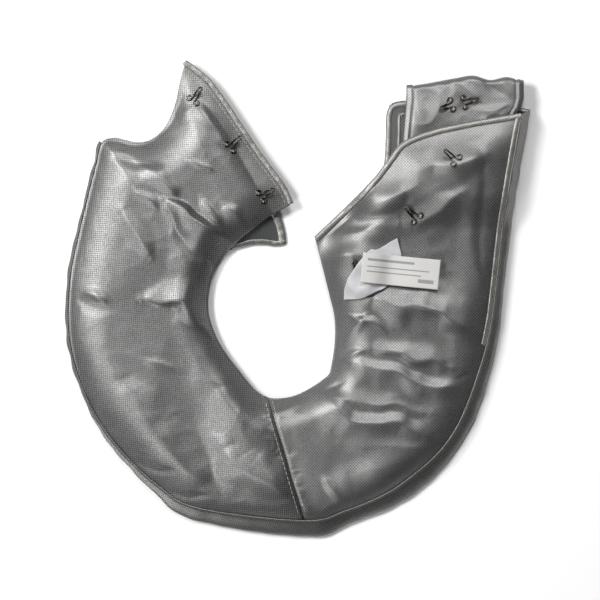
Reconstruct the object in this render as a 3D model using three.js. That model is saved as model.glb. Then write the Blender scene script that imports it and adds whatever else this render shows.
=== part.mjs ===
// Heat blanket for the turbine housing of a turbocharger, lying flat with its two ends open.
// Two horseshoe pads, front and back, are sewn to a rim band that stands between them. Each pad is
// an outer skin of silver-coated glass cloth, a felt core and a knitted wire liner. The pads part
// along the inner edge, where the housing goes in. A padded neck flap is folded over at the right
// end, and wire lacing hooks on both ends take the lacing that draws the blanket shut.
// Millimetres, +Z up, origin under the middle of the footprint, seen from above as it lies.
import * as THREE from "three";

// Layers
const cloth = 1.2; // outer skin
const liner = 0.9; // knitted wire liner
const touch = 0.3; // air left between two layers that lie on each other
const backPad = 11; // back pad, skin to liner
const frontPad = 11.5; // front pad, liner to skin, where no fold lifts the skin
const creaseRoom = 2.4; // the felt lies this much lower, so that a crease can sink the skin
const pocket = 3.4; // flattened space between the pads, which the housing opens up
const sewnEdge = liner + touch + cloth; // an edge with no felt in it

// How a pad swells from its sewn edges
const innerSwell = 24;
const rimSwell = 20;
const endSwell = 26;
const endHem = 6; // flat margin along an open end
const rimLift = 6; // the rim band holds the front pad up, most on the right
const rimLiftReach = 45;
const endLift = 5; // the open left end stands off the back pad
const endLiftReach = 60;

// Rim band
const rimBulge = 3;
const rimFeltGap = 0.8;

// Neck flap, folded double with the fold at the top
const flapFelt = 3.4;
const flapLiner = 0.8;
const flapLeafGap = 1.2;
const flapHem = 7;
const flapFull = 16; // from a side edge to where the felt has its full thickness
const flapDroop = 5; // the fold hangs over the end of the back pad
const flapLeftEdge = [[101, 135], [102, 160], [105.5, 200], [105.5, 225]];
const flapRightEdge = [[206, 150], [208, 160], [211, 175], [214, 183], [219.5, 192], [221.5, 200], [221.5, 225]];
const flapTail = [144, 167]; // where both leaves end under the front pad, at the left and the right side
const flapFold = [212, 214, 217, 220, 222.5, 218, 221, 216.5]; // fold line, from left to right

// Lacing hooks: one wire with two eyelets and a raised tongue
const wire = 1.8;
const eyeletRadius = 2.3;
const eyeletSpread = 4.6;
const tongueHalf = 1.5;
const tongueRise = 4;
const hookClearance = 0.5;

// Paper label and the torn strip of tape that holds it
const paper = 0.4;
const labelLength = 77;
const labelWidth = 29.5;
const labelMiddle = [99, 28.4];
const labelTurn = -5.6; // degrees
const stripLeftEdge = [[43, 0], [45, 15], [52, 29], [67, 48], [76, 50], [86, 55.5], [96, 61]];
const stripRightEdge = [[58, 1], [66, 3.5], [75, 8], [85, 13], [93, 26], [99, 37], [100, 45]];

// Pairs of points on the inner and outer edge of the front pad, from the left end to the right
const frontLeftStations = [
  [-7, 96.5, -113, 237.5],
  [-17, 90, -118, 220],
  [-32, 82, -123, 197],
  [-46, 71, -129, 181],
  [-54, 65, -136, 169],
  [-60, 60, -148, 159],
  [-65, 55, -163, 156.5],
  [-69, 51.5, -184, 161],
  [-73, 47.5, -197, 156],
  [-77, 43, -202, 137],
  [-81.5, 36, -209, 110],
  [-87, 23, -219, 68],
  [-90, 9, -227, 30],
  [-91, -5, -230, -5],
  [-89, -20, -228.5, -40],
  [-82, -38.5, -220, -74],
  [-72, -55, -203, -113],
  [-60, -70.5, -177, -149],
  [-50, -83.5, -140, -184],
  [-42, -91, -100, -206],
  [-32, -96.5, 4, -218],
];
const frontRightStations = [
  [-19, -97.5, 45, -208],
  [-4, -94.5, 85, -191],
  [11, -87, 115, -170],
  [22, -79.5, 138, -149],
  [29, -73, 155, -125],
  [32, -60, 167, -98],
  [34, -47, 176, -72],
  [35, -30, 184, -45],
  [34, -15, 189.5, -18],
  [31, -2, 193, 10],
  [27, 14, 197, 46],
  [23, 30, 202, 88],
  [19, 46, 209.5, 135],
  [14.7, 62.5, 218, 184],
];
const frontStations = [...frontLeftStations, ...frontRightStations];
const seamStation = frontLeftStations.length - 1; // the two halves of each pad are sewn together here
const lastStation = frontStations.length - 1;

// How far the back pad reaches past the front pad at the rim, from the corner to the right end
const backReach = [
  -3, -3, -3, -3, -3, -3, -3, -2, 0, 3, 6, 11, 15, 12, 14, 14, 12, 11, 11, 10, 9, 7.5, 7, 7.5, 8, 9, 10,
];
const backSetback = 1.5; // the back pad's inner edge lies this far behind the front's
const backLeftStations = [
  [-14, 56, -109, 224],
  [-24, 54, -115, 206],
  [-36, 55.5, -120, 192],
  [-48, 55, -127, 176],
  [-56, 53, -138, 164],
  [-62, 52, -150, 155],
  [-67, 50.5, -165, 152.5],
  [-71, 49.5, -184, 157],
];
const cornerStation = backLeftStations.length; // the rim band starts at this outer corner

const footprintMiddle = [-2.5, 1.8]; // becomes the origin

// Open ends, from the inner corner to the outer corner
const frontLeftEnd = [
  [-7, 96.5], [-14, 112], [-25, 127.5], [-42, 150.5], [-59, 176], [-73, 197], [-87, 216], [-100, 228],
  [-113, 237.5],
];
const frontRightEnd = [
  [14.7, 62.5], [46, 92], [73, 119.5], [88, 139], [102, 155.5], [130, 167], [168, 175.5], [218, 184],
];
const backLeftEnd = [[-14, 56], [-22, 87], [-67, 165], [-109, 224]];
const backRightEnd = [
  [15.5, 61], [48, 88], [76, 114], [84, 134], [86, 164], [87, 186], [96, 196], [130, 197], [180, 197],
  [228, 189],
];
// Along how many stations an end's own shape is felt
const frontEndReach = { left: 5, right: 10 };
const backEndReach = { left: 5, right: 14 };

// Folds of the front skin along straight lines: a ridge, or a crease where the rise is below zero
const folds = [
  { from: [-148, 137], to: [-122, 102], rise: 3, reach: 8 },
  { from: [-172, 134], to: [-154, 112], rise: 2.5, reach: 9 },
  { from: [-118, 91], to: [-72, 62], rise: 5, reach: 12 },
  { from: [-95, 99], to: [-76, 73], rise: 2.5, reach: 7 },
  { from: [-62, 93], to: [-50, 74], rise: 2.5, reach: 7 },
  { from: [-95, 182], to: [-65, 155], rise: 3, reach: 7 },
  { from: [-165, 75], to: [-140, 48], rise: 3, reach: 10 },
  { from: [-104, 5], to: [-90, -32], rise: 4, reach: 14 },
  { from: [-190, -45], to: [-172, -95], rise: 3, reach: 20 },
  { from: [-172, -95], to: [-112, -172], rise: 3, reach: 18 },
  { from: [-94, -110], to: [-97, -175], rise: -1.8, reach: 14 },
  { from: [-72, -146], to: [-2, -206], rise: 6, reach: 15 },
  { from: [-25, -107], to: [0, -100], rise: 2.5, reach: 7 },
  { from: [18, -92], to: [42, -110], rise: 4, reach: 13 },
  { from: [42, -110], to: [120, -120], rise: 4, reach: 14 },
  { from: [20, -142], to: [130, -150], rise: -1.8, reach: 12 },
  { from: [60, -200], to: [125, -162], rise: 3.5, reach: 13 },
  { from: [75, -52], to: [150, -78], rise: 3, reach: 11 },
  { from: [45, 3], to: [110, -8], rise: 4.5, reach: 13 },
  { from: [110, -8], to: [180, -30], rise: 4.5, reach: 13 },
  { from: [60, -25], to: [165, -41], rise: -1.8, reach: 10 },
  { from: [100, 78], to: [140, 86], rise: 3.5, reach: 9 },
  { from: [140, 86], to: [158, 104], rise: 3, reach: 9 },
  { from: [130, 132], to: [180, 144], rise: 3, reach: 9 },
  { from: [50, 60], to: [108, 108], rise: 3, reach: 12 },
  { from: [190, 110], to: [188, 20], rise: 2, reach: 9 },
];
const seamDip = 2;
const seamDipReach = 14;

// Lacing hooks: middle of the eyelets, direction of the tongue in degrees from +X, its length
const frontHooks = {
  left_hook_1: [-106, 197.5, 56, 15],
  left_hook_2: [-69, 151, 45, 15.5],
  left_hook_3: [-38.5, 102, 31, 15.5],
  right_hook_1: [58.6, 24, 112, 15.5],
  right_hook_2: [115, 80, 135, 15.5],
  right_hook_3: [153.5, 137, 139, 15.5],
};
const flapHooks = {
  flap_hook_1: [149.5, 193, 200, 12],
  flap_hook_2: [162, 195.5, 14, 14.5],
};

// Colours and finishes
const finish = (color, roughness, metalness) =>
  new THREE.MeshStandardMaterial({ color, roughness, metalness, side: THREE.DoubleSide });
const silverCloth = finish(0x8d8c89, 0.45, 0.6);
const felt = finish(0xe6e3da, 0.95, 0);
const wireLiner = finish(0x4b4e52, 0.6, 0.7);
const steelWire = finish(0x6d6b66, 0.3, 1);
const labelPaper = finish(0xdedcd8, 0.7, 0);
const whiteTape = finish(0xe4e3e4, 0.55, 0);

const { clamp, lerp, smoothstep, degToRad } = THREE.MathUtils;
const vectors = (points) => points.map(([x, y]) => new THREE.Vector2(x, y));
const swell = (distance, reach) => Math.sin((Math.PI / 2) * clamp(distance / reach, 0, 1)) ** 0.8;

// Value on a line of points, read at its second number
function readAcross(points, y) {
  let i = 1;
  while (i < points.length - 1 && points[i][1] < y) i++;
  const [before, after] = [points[i - 1], points[i]];
  const share = clamp((y - before[1]) / (after[1] - before[1]), 0, 1);
  return lerp(before[0], after[0], share);
}

// Shortest way from a place to a line of points
function distanceTo(line, place) {
  let nearest = Infinity;
  for (let i = 1; i < line.length; i++) {
    const [ax, ay, dx, dy] = [line[i - 1].x, line[i - 1].y, line[i].x - line[i - 1].x, line[i].y - line[i - 1].y];
    const along = ((place.x - ax) * dx + (place.y - ay) * dy) / Math.max(dx * dx + dy * dy, 1e-9);
    const share = clamp(along, 0, 1);
    nearest = Math.min(nearest, Math.hypot(ax + dx * share - place.x, ay + dy * share - place.y));
  }
  return nearest;
}

function isInside(outline, place) {
  let inside = false;
  for (let i = 0, j = outline.length - 1; i < outline.length; j = i++) {
    const [a, b] = [outline[i], outline[j]];
    const crosses = a.y > place.y !== b.y > place.y;
    if (crosses && place.x < ((b.x - a.x) * (place.y - a.y)) / (b.y - a.y) + a.x) inside = !inside;
  }
  return inside;
}

// A horseshoe pad seen from above. A place on it is given by its station, which may lie between two,
// and by its way from the inner edge to the outer one.
class Horseshoe {
  constructor(stations, leftEnd, rightEnd, endReach) {
    this.inner = new THREE.SplineCurve(vectors(stations.map(([x, y]) => [x, y])));
    this.outer = new THREE.SplineCurve(vectors(stations.map(([, , x, y]) => [x, y])));
    this.leftEnd = new THREE.SplineCurve(vectors(leftEnd));
    this.rightEnd = new THREE.SplineCurve(vectors(rightEnd));
    this.endReach = endReach;
    this.lines = {
      inner: this.inner.getPoints(lastStation * 3),
      outer: this.outer.getPoints(lastStation * 3),
      left: this.leftEnd.getPoints(30),
      right: this.rightEnd.getPoints(45),
    };
    const { inner, outer, left, right } = this.lines;
    this.outline = [...inner, ...right, ...[...outer].reverse(), ...[...left].reverse()];
  }
  // A row is a distance in millimetres and a share of the width, added together
  at(station, [distance, widthShare]) {
    const inner = this.inner.getPoint(station / lastStation);
    const outer = this.outer.getPoint(station / lastStation);
    const across = clamp(distance / inner.distanceTo(outer) + widthShare, 0, 1);
    const leftPull = Math.max(0, 1 - station / this.endReach.left) ** 3;
    const rightPull = Math.max(0, 1 - (lastStation - station) / this.endReach.right) ** 3;
    return inner
      .lerp(outer, across)
      .addScaledVector(this.ownShape(this.leftEnd, across), leftPull)
      .addScaledVector(this.ownShape(this.rightEnd, across), rightPull);
  }
  ownShape(end, across) {
    return end.getPointAt(across).sub(end.getPoint(0).lerp(end.getPoint(1), across));
  }
  // How full of felt the pad is at a place: 0 at its edges and off it, 1 well inside
  fullness(place) {
    if (!isInside(this.outline, place)) return 0;
    const { inner, outer, left, right } = this.lines;
    return (
      swell(distanceTo(inner, place), innerSwell) *
      swell(distanceTo(outer, place), rimSwell) *
      swell(distanceTo(left, place) - endHem, endSwell) *
      swell(distanceTo(right, place) - endHem, endSwell)
    );
  }
}

const front = new Horseshoe(frontStations, frontLeftEnd, frontRightEnd, frontEndReach);
const backStations = frontStations.map(([ix, iy, ox, oy], i) => {
  if (i < cornerStation) return backLeftStations[i];
  const across = new THREE.Vector2(ox - ix, oy - iy).normalize();
  const reach = backReach[i - cornerStation];
  return [
    ix + across.x * backSetback,
    iy + across.y * backSetback,
    ox + across.x * reach,
    oy + across.y * reach,
  ];
});
const back = new Horseshoe(backStations, backLeftEnd, backRightEnd, backEndReach);
const seamLine = [
  front.inner.getPoint(seamStation / lastStation),
  front.outer.getPoint(seamStation / lastStation),
];
const seamSide = seamLine[1].clone().sub(seamLine[0]).rotateAround(new THREE.Vector2(), Math.PI / 2).normalize();

// Heights of the neck flap, counted from the middle between its two leaves
const flapInner = flapLeafGap / 2 + flapLiner + touch;
const flapHalf = flapInner + flapFelt + touch + cloth;
const flapMiddle = (y) => backPad + touch + flapHalf - flapDroop * smoothstep(y, 172, 224);
const overFlap = backPad + touch + 2 * flapHalf + 2 * touch;

// Heights of the pads
const backTop = (place) => sewnEdge + (backPad - sewnEdge) * back.fullness(place);
function frontUnder(place) {
  const side = smoothstep(place.x, -120, 100);
  const rim = rimLift * side * (1 - smoothstep(distanceTo(front.lines.outer, place), 0, rimLiftReach));
  const end = endLift * (1 - smoothstep(distanceTo(front.lines.left, place), 0, endLiftReach));
  const resting = backTop(place) + pocket + rim + end;
  const onFlap = smoothstep(place.x, 30, 75) * smoothstep(place.y, 68, 105);
  return lerp(resting, Math.max(resting, overFlap), onFlap);
}
function foldHeight(place) {
  let height = -seamDip * Math.exp(-((distanceTo(seamLine, place) / seamDipReach) ** 2));
  for (const { from, to, rise, reach } of folds) {
    height += rise * Math.exp(-((distanceTo(vectors([from, to]), place) / reach) ** 2));
  }
  return Math.max(height, -creaseRoom);
}
const frontSwell = (place) => sewnEdge + (frontPad - sewnEdge + foldHeight(place)) * front.fullness(place);
const frontFelt = (place) => touch + (frontPad - sewnEdge - creaseRoom - touch) * front.fullness(place);

// Closed solid between two nets of points that match one to one
function closedSheet(topNet, underNet) {
  const columns = topNet.length;
  const rows = topNet[0].length;
  const points = [...topNet.flat(), ...underNet.flat()];
  const top = (i, j) => i * rows + j;
  const under = (i, j) => (columns + i) * rows + j;
  const index = [];
  const quad = (a, b, c, d) => index.push(a, b, c, a, c, d);
  for (let i = 0; i < columns - 1; i++) {
    for (let j = 0; j < rows - 1; j++) {
      quad(top(i, j), top(i, j + 1), top(i + 1, j + 1), top(i + 1, j));
      index.push(under(i, j), under(i + 1, j + 1), under(i, j + 1));
      index.push(under(i, j), under(i + 1, j), under(i + 1, j + 1));
    }
    quad(top(i, 0), top(i + 1, 0), under(i + 1, 0), under(i, 0));
    quad(top(i + 1, rows - 1), top(i, rows - 1), under(i, rows - 1), under(i + 1, rows - 1));
  }
  for (let j = 0; j < rows - 1; j++) {
    quad(top(0, j + 1), top(0, j), under(0, j), under(0, j + 1));
    quad(top(columns - 1, j), top(columns - 1, j + 1), under(columns - 1, j + 1), under(columns - 1, j));
  }
  let volume = 0;
  for (let i = 0; i < index.length; i += 3) {
    const [a, b, c] = [points[index[i]], points[index[i + 1]], points[index[i + 2]]];
    volume += a.dot(b.clone().cross(c));
  }
  if (volume < 0) index.reverse();
  const geometry = new THREE.BufferGeometry().setFromPoints(points);
  geometry.setIndex(index);
  geometry.computeVertexNormals();
  return geometry;
}

const blanket = new THREE.Group();
function add(name, geometry, material) {
  const mesh = new THREE.Mesh(geometry, material);
  mesh.name = name;
  mesh.position.set(-footprintMiddle[0], -footprintMiddle[1], 0);
  blanket.add(mesh);
}

// Nets for the pads: plan place and height of the lower face, row by row from the inner edge
const plainRows = [[0, 0], [7, 0], [18, 0], [0, 0.35], [0, 0.65], [-20, 1], [-7, 1], [0, 1]];
const rowSplits = [2, 2, 2, 3, 2, 2, 1];
const skinStep = 14; // widest spacing of the skin's columns, taken halfway across the pad
const stationsFrom = (first, last) => Array.from({ length: last - first + 1 }, (_, i) => first + i);
const halves = {
  left: {
    stations: [0, 0.4, ...stationsFrom(1, 15), 15.5, 16, 16.5, 17, 17.5, 18, 18.5, 19, 19.25, 19.5, 19.75, seamStation],
    side: -1,
    feltPart: (list) => list.slice(2, -1),
  },
  right: {
    stations: [seamStation, 20.5, 21, 21.5, 22, 22.5, ...stationsFrom(23, 33), 33.35, 33.7, lastStation],
    side: 1,
    feltPart: (list) => list.slice(1, -2),
  },
};
function plainNet(pad, { stations, side }, under) {
  return stations.map((station) =>
    plainRows.map((row) => {
      const place = pad.at(station, row);
      if (station === seamStation) place.addScaledVector(seamSide, (side * touch) / 2);
      return new THREE.Vector3(place.x, place.y, under(place));
    }),
  );
}
// More points on the flat triangles of a net, so that a finer layer never cuts a plain one
function finerNet(net) {
  const onTriangles = (i, j, s, t) => {
    const [a, b, c, d] = [net[i][j], net[i][j + 1], net[i + 1][j], net[i + 1][j + 1]];
    const corner = t > s ? b : c;
    const [toCorner, toEnd] = t > s ? [t, s] : [s, t];
    return a
      .clone()
      .addScaledVector(corner.clone().sub(a), toCorner)
      .addScaledVector(d.clone().sub(corner), toEnd);
  };
  const fineColumn = (i, s) => {
    const line = rowSplits.flatMap((split, j) =>
      Array.from({ length: split }, (_, k) => onTriangles(i, j, s, k / split)),
    );
    return [...line, onTriangles(i, rowSplits.length - 1, s, 1)];
  };
  const finer = [];
  const halfway = rowSplits.length >> 1;
  for (let i = 0; i < net.length - 1; i++) {
    const split = Math.ceil(net[i][halfway].distanceTo(net[i + 1][halfway]) / skinStep);
    for (let k = 0; k < split; k++) finer.push(fineColumn(i, k / split));
  }
  finer.push(fineColumn(net.length - 2, 1));
  return finer;
}
const raised = (net, lift) =>
  net.map((line) => line.map((p) => new THREE.Vector3(p.x, p.y, p.z + lift(p))));
const layerOn = (net, high, low) => closedSheet(raised(net, high), raised(net, low));

const skins = [];
for (const [name, half] of Object.entries(halves)) {
  const feltPart = (net) => half.feltPart(net).map((line) => line.slice(1, -1));

  const backNet = plainNet(back, half, () => 0);
  const edge = [
    ...backNet.map((line) => line[0]),
    ...backNet.at(-1).slice(1),
    ...backNet.map((line) => line.at(-1)).slice(0, -1).reverse(),
    ...backNet[0].slice(1, -1).reverse(),
  ];
  const flat = new THREE.Shape(edge.map((p) => new THREE.Vector2(p.x, p.y)));
  add(
    `back_cloth_${name}`,
    new THREE.ExtrudeGeometry(flat, { depth: cloth, bevelEnabled: false, curveSegments: 1 }),
    silverCloth,
  );
  add(
    `back_felt_${name}`,
    layerOn(feltPart(backNet), (p) => backTop(p) - liner - touch, () => cloth + touch),
    felt,
  );
  add(`back_liner_${name}`, layerOn(backNet, backTop, (p) => backTop(p) - liner), wireLiner);

  const frontNet = plainNet(front, half, frontUnder);
  add(`front_liner_${name}`, layerOn(frontNet, () => liner, () => 0), wireLiner);
  add(
    `front_felt_${name}`,
    layerOn(feltPart(frontNet), (p) => liner + touch + frontFelt(p), () => liner + touch),
    felt,
  );
  const skinNet = finerNet(frontNet);
  add(`front_cloth_${name}`, layerOn(skinNet, frontSwell, (p) => frontSwell(p) - cloth), silverCloth);
  skins.push(raised(skinNet, frontSwell));
}

// Height of the front skin at a place, and 0 off it
function frontTop(place) {
  const triangle = new THREE.Triangle();
  const flat = (p) => new THREE.Vector3(p.x, p.y, 0);
  const spot = flat(place);
  const weights = new THREE.Vector3();
  for (const net of skins) {
    for (let i = 0; i < net.length - 1; i++) {
      for (let j = 0; j < net[i].length - 1; j++) {
        const [a, b, c, d] = [net[i][j], net[i][j + 1], net[i + 1][j + 1], net[i + 1][j]];
        if (a.distanceTo(new THREE.Vector3(place.x, place.y, a.z)) > 90) continue;
        for (const [p, q, r] of [
          [a, b, c],
          [a, c, d],
        ]) {
          triangle.set(flat(p), flat(q), flat(r));
          if (triangle.getBarycoord(spot, weights) && Math.min(weights.x, weights.y, weights.z) >= -1e-6) {
            return p.z * weights.x + q.z * weights.y + r.z * weights.z;
          }
        }
      }
    }
  }
  return 0;
}

// Rim band: cloth on the outside, from the back pad's edge up over the front pad's edge
const rimStations = [
  ...halves.left.stations.filter((s) => s >= cornerStation),
  ...halves.right.stations.slice(1),
];
const bandFace = (offset) =>
  rimStations.map((station) => {
    const low = back.at(station, [0, 1]);
    const high = front.at(station, [0, 1]);
    const out = high.clone().sub(front.at(station, [-5, 1])).normalize();
    const under = frontUnder(high);
    const profile = [
      [low, offset, touch],
      [low, offset, sewnEdge + touch],
      [low.clone().lerp(high, 0.5), offset + rimBulge, (sewnEdge + under) / 2],
      [high, offset, under - touch],
      [high, offset, under + sewnEdge + touch],
    ];
    return profile.map(([foot, reach, z]) => {
      const place = foot.clone().addScaledVector(out, reach);
      return new THREE.Vector3(place.x, place.y, z);
    });
  });
add("rim_cloth", closedSheet(bandFace(touch + cloth), bandFace(touch)), silverCloth);

const rimFeltStations = rimStations.filter((s) => s > cornerStation && s < lastStation - 1);
const rimFeltNet = rimFeltStations.map((station) =>
  [[-20, 1], [-7, 1]].map((row) => {
    const place = front.at(station, row);
    return new THREE.Vector3(place.x, place.y, 0);
  }),
);
add(
  "rim_felt",
  layerOn(rimFeltNet, (p) => frontUnder(p) - rimFeltGap, (p) => backTop(p) + rimFeltGap),
  felt,
);

// Neck flap: three layers that turn together round the fold
const flapWidth = flapRightEdge.at(-1)[0] - flapLeftEdge.at(-1)[0];
const flapAcross = [0, flapHem, flapFull, 32, 50, 66, 84, flapWidth - flapFull, flapWidth - flapHem, flapWidth];
const flapAlong = [0, 0.35, 0.6, 0.8, 1];
const flapTurn = [1, 2, 3].map((i) => (Math.PI * i) / 4);
const flapFoldCurve = new THREE.SplineCurve(vectors(flapFold.map((y, i) => [i, y])));
const feltShare = (across) => swell(Math.min(across, flapWidth - across), flapFull);
const flapOuter = (across) =>
  flapInner + flapFelt * feltShare(across) + touch * clamp(Math.min(across, flapWidth - across) / flapHem, 0, 1);
function flapFace(across, radius) {
  const share = across / flapWidth;
  const turnY = flapFoldCurve.getPoint(share).y - flapOuter(across) - cloth;
  const tail = lerp(flapTail[0], flapTail[1], share);
  const place = (y, z) =>
    new THREE.Vector3(lerp(readAcross(flapLeftEdge, y), readAcross(flapRightEdge, y), share), y, z);
  const leaf = (side) => flapAlong.map((t) => lerp(tail, turnY, t)).map((y) => place(y, flapMiddle(y) + side * radius));
  const turn = flapTurn.map((angle) =>
    place(turnY + radius * Math.sin(angle), flapMiddle(turnY) + radius * Math.cos(angle)),
  );
  return [...leaf(1), ...turn, ...leaf(-1).reverse()];
}
const flapLayer = (across, outer, inner) =>
  closedSheet(
    across.map((x) => flapFace(x, outer(x))),
    across.map((x) => flapFace(x, inner(x))),
  );
add("flap_cloth", flapLayer(flapAcross, (x) => flapOuter(x) + cloth, flapOuter), silverCloth);
add(
  "flap_felt",
  flapLayer(flapAcross.slice(1, -1), (x) => flapInner + flapFelt * feltShare(x), () => flapInner),
  felt,
);
add(
  "flap_liner",
  flapLayer(flapAcross, () => flapInner - touch, () => flapLeafGap / 2),
  wireLiner,
);
const flapTop = (place) => {
  const share = (place.x - readAcross(flapLeftEdge, place.y)) / flapWidth;
  return flapMiddle(place.y) + flapOuter(clamp(share, 0, 1) * flapWidth) + cloth;
};

// Lacing hooks
const wireSection = new THREE.Shape(
  Array.from({ length: 5 }, (_, i) =>
    new THREE.Vector2(wire / 2, 0).rotateAround(new THREE.Vector2(), (2 * Math.PI * i) / 5),
  ),
);
function hookHalf(length) {
  const eyelet = [-340, -290, -240, -190, -140, -90].map((degrees) => {
    const angle = degToRad(degrees);
    return [eyeletRadius * Math.cos(angle), eyeletSpread + eyeletRadius * Math.sin(angle)];
  });
  return [...eyelet, [length * 0.42, tongueHalf * 1.25], [length * 0.7, tongueHalf], [length - tongueHalf, tongueHalf]];
}
for (const [surface, hooks] of [
  [frontTop, frontHooks],
  [flapTop, flapHooks],
]) {
  for (const [name, [x, y, degrees, length]] of Object.entries(hooks)) {
    const half = hookHalf(length);
    const outline = [...half, [length, 0], ...half.map(([s, t]) => [s, -t]).reverse()];
    const base = new THREE.Vector2(x, y);
    const lie = hookClearance + wire / 2;
    const points = outline.map(([s, t]) => {
      const place = new THREE.Vector2(x + s, y + t).rotateAround(base, degToRad(degrees));
      const lying = surface(place) + lie;
      const raised = surface(base) + lie + tongueRise * smoothstep(s, 3, length * 0.8);
      return new THREE.Vector3(place.x, place.y, lerp(lying, Math.max(lying, raised), smoothstep(s, 2, 8)));
    });
    const path = new THREE.CatmullRomCurve3(points, false, "centripetal");
    add(name, new THREE.ExtrudeGeometry(wireSection, { steps: 28, extrudePath: path, bevelEnabled: false }), steelWire);
  }
}

// Torn tape over the lowest right hook, and the label on the tape
const [hookX, hookY] = frontHooks.right_hook_1;
const around = [[0, 0], [6, 0], [3, 5.2], [-3, 5.2], [-6, 0], [-3, -5.2], [3, -5.2]];
const coverHeight = (place) => {
  const heights = around.map(([dx, dy]) => frontTop(new THREE.Vector2(place.x + dx, place.y + dy)));
  const fromHook = Math.hypot(place.x - hookX, place.y - hookY);
  return Math.max(...heights) + (hookClearance + wire + tongueRise) * (1 - smoothstep(fromHook, 12, 26));
};
const stripNet = (lift) =>
  stripLeftEdge.map((left, i) =>
    [0, 0.33, 0.67, 1].map((share) => {
      const place = new THREE.Vector2(...left).lerp(new THREE.Vector2(...stripRightEdge[i]), share);
      return new THREE.Vector3(place.x, place.y, coverHeight(place) + lift);
    }),
  );
add("label_tape", closedSheet(stripNet(1 + paper), stripNet(1)), whiteTape);

const labelSteps = [0, 1, 2, 3, 4, 5, 6].map((i) => i / 6 - 0.5);
const labelNet = (lift) =>
  labelSteps.map((along) => {
    const spot = (s, t) =>
      new THREE.Vector2(labelMiddle[0] + s * labelLength, labelMiddle[1] + t * labelWidth).rotateAround(
        new THREE.Vector2(...labelMiddle),
        degToRad(labelTurn),
      );
    const near = [-0.12, 0, 0.12].flatMap((s) => [-0.5, -0.25, 0, 0.25, 0.5].map((t) => spot(along + s, t)));
    const z = Math.max(...near.map(coverHeight)) + 1.4 + 2 * paper + lift;
    return [-0.5, 0.5].map((t) => {
      const place = spot(along, t);
      return new THREE.Vector3(place.x, place.y, z);
    });
  });
add("paper_label", closedSheet(labelNet(paper), labelNet(0)), labelPaper);

export default blanket;
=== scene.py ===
import math

import bmesh
import bpy
import numpy as np
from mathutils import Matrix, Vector


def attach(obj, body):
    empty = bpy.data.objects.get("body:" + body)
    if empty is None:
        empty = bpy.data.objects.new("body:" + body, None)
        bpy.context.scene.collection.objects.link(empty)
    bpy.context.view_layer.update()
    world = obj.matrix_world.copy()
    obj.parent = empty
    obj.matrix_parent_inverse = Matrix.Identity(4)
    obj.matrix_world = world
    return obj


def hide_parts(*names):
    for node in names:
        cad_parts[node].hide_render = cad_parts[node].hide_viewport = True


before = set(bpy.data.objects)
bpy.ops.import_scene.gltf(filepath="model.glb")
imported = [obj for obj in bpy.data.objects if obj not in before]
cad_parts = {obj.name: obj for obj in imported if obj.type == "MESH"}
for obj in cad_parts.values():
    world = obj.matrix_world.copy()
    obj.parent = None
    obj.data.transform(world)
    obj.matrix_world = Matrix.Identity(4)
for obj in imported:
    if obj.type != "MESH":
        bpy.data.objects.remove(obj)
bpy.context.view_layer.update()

bl_info = {
    "name": "Turbo heat blanket",
    "version": (1, 0, 0),
    "blender": (4, 5, 0),
    "location": "View3D > Sidebar > Heat Blanket",
    "description": "Builds a sewn heat blanket with its folds, hems, stitches and lacing hooks",
    "category": "Add Mesh",
}

# Plan of the blanket, in millimetres
# Pairs of points on the inner and outer edge of the front pad, from the left end to the right
FRONT = np.array([
    (-7, 96.5, -113, 237.5), (-17, 90, -118, 220), (-32, 82, -123, 197), (-46, 71, -129, 181),
    (-54, 65, -136, 169), (-60, 60, -148, 159), (-65, 55, -163, 156.5), (-69, 51.5, -184, 161),
    (-73, 47.5, -197, 156), (-77, 43, -202, 137), (-81.5, 36, -209, 110), (-87, 23, -219, 68),
    (-90, 9, -227, 30), (-91, -5, -230, -5), (-89, -20, -228.5, -40), (-82, -38.5, -220, -74),
    (-72, -55, -203, -113), (-60, -70.5, -177, -149), (-50, -83.5, -140, -184),
    (-42, -91, -100, -206), (-32, -96.5, 4, -218), (-19, -97.5, 45, -208), (-4, -94.5, 85, -191),
    (11, -87, 115, -170), (22, -79.5, 138, -149), (29, -73, 155, -125), (32, -60, 167, -98),
    (34, -47, 176, -72), (35, -30, 184, -45), (34, -15, 189.5, -18), (31, -2, 193, 10),
    (27, 14, 197, 46), (23, 30, 202, 88), (19, 46, 209.5, 135), (14.7, 62.5, 218, 184),
])
LAST = len(FRONT) - 1
CORNER = 8  # the rim band starts here
SEAM = 20  # seam between the left and the right half
HALVES = {"left": (0, SEAM), "right": (SEAM, LAST)}
SEAM_GAP = 0.15  # from the seam's middle to each half
# How far the back pad reaches past the front pad's rim, at each station from the corner on
BACK_REACH = [
    -3, -3, -3, -3, -3, -3, -3, -2, 0, 3, 6, 11, 15, 12, 14, 14, 12, 11, 11, 10, 9, 7.5, 7, 7.5, 8,
    9, 10,
]
BACK_SETBACK = 1.5  # the back pad's inner edge lies this far behind the front pad's
# Stations of the back pad's left end, up to the corner
BACK_LEFT = [
    (-14, 56, -109, 224), (-24, 54, -115, 206), (-36, 55.5, -120, 192), (-48, 55, -127, 176),
    (-56, 53, -138, 164), (-62, 52, -150, 155), (-67, 50.5, -165, 152.5), (-71, 49.5, -184, 157),
]
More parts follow.
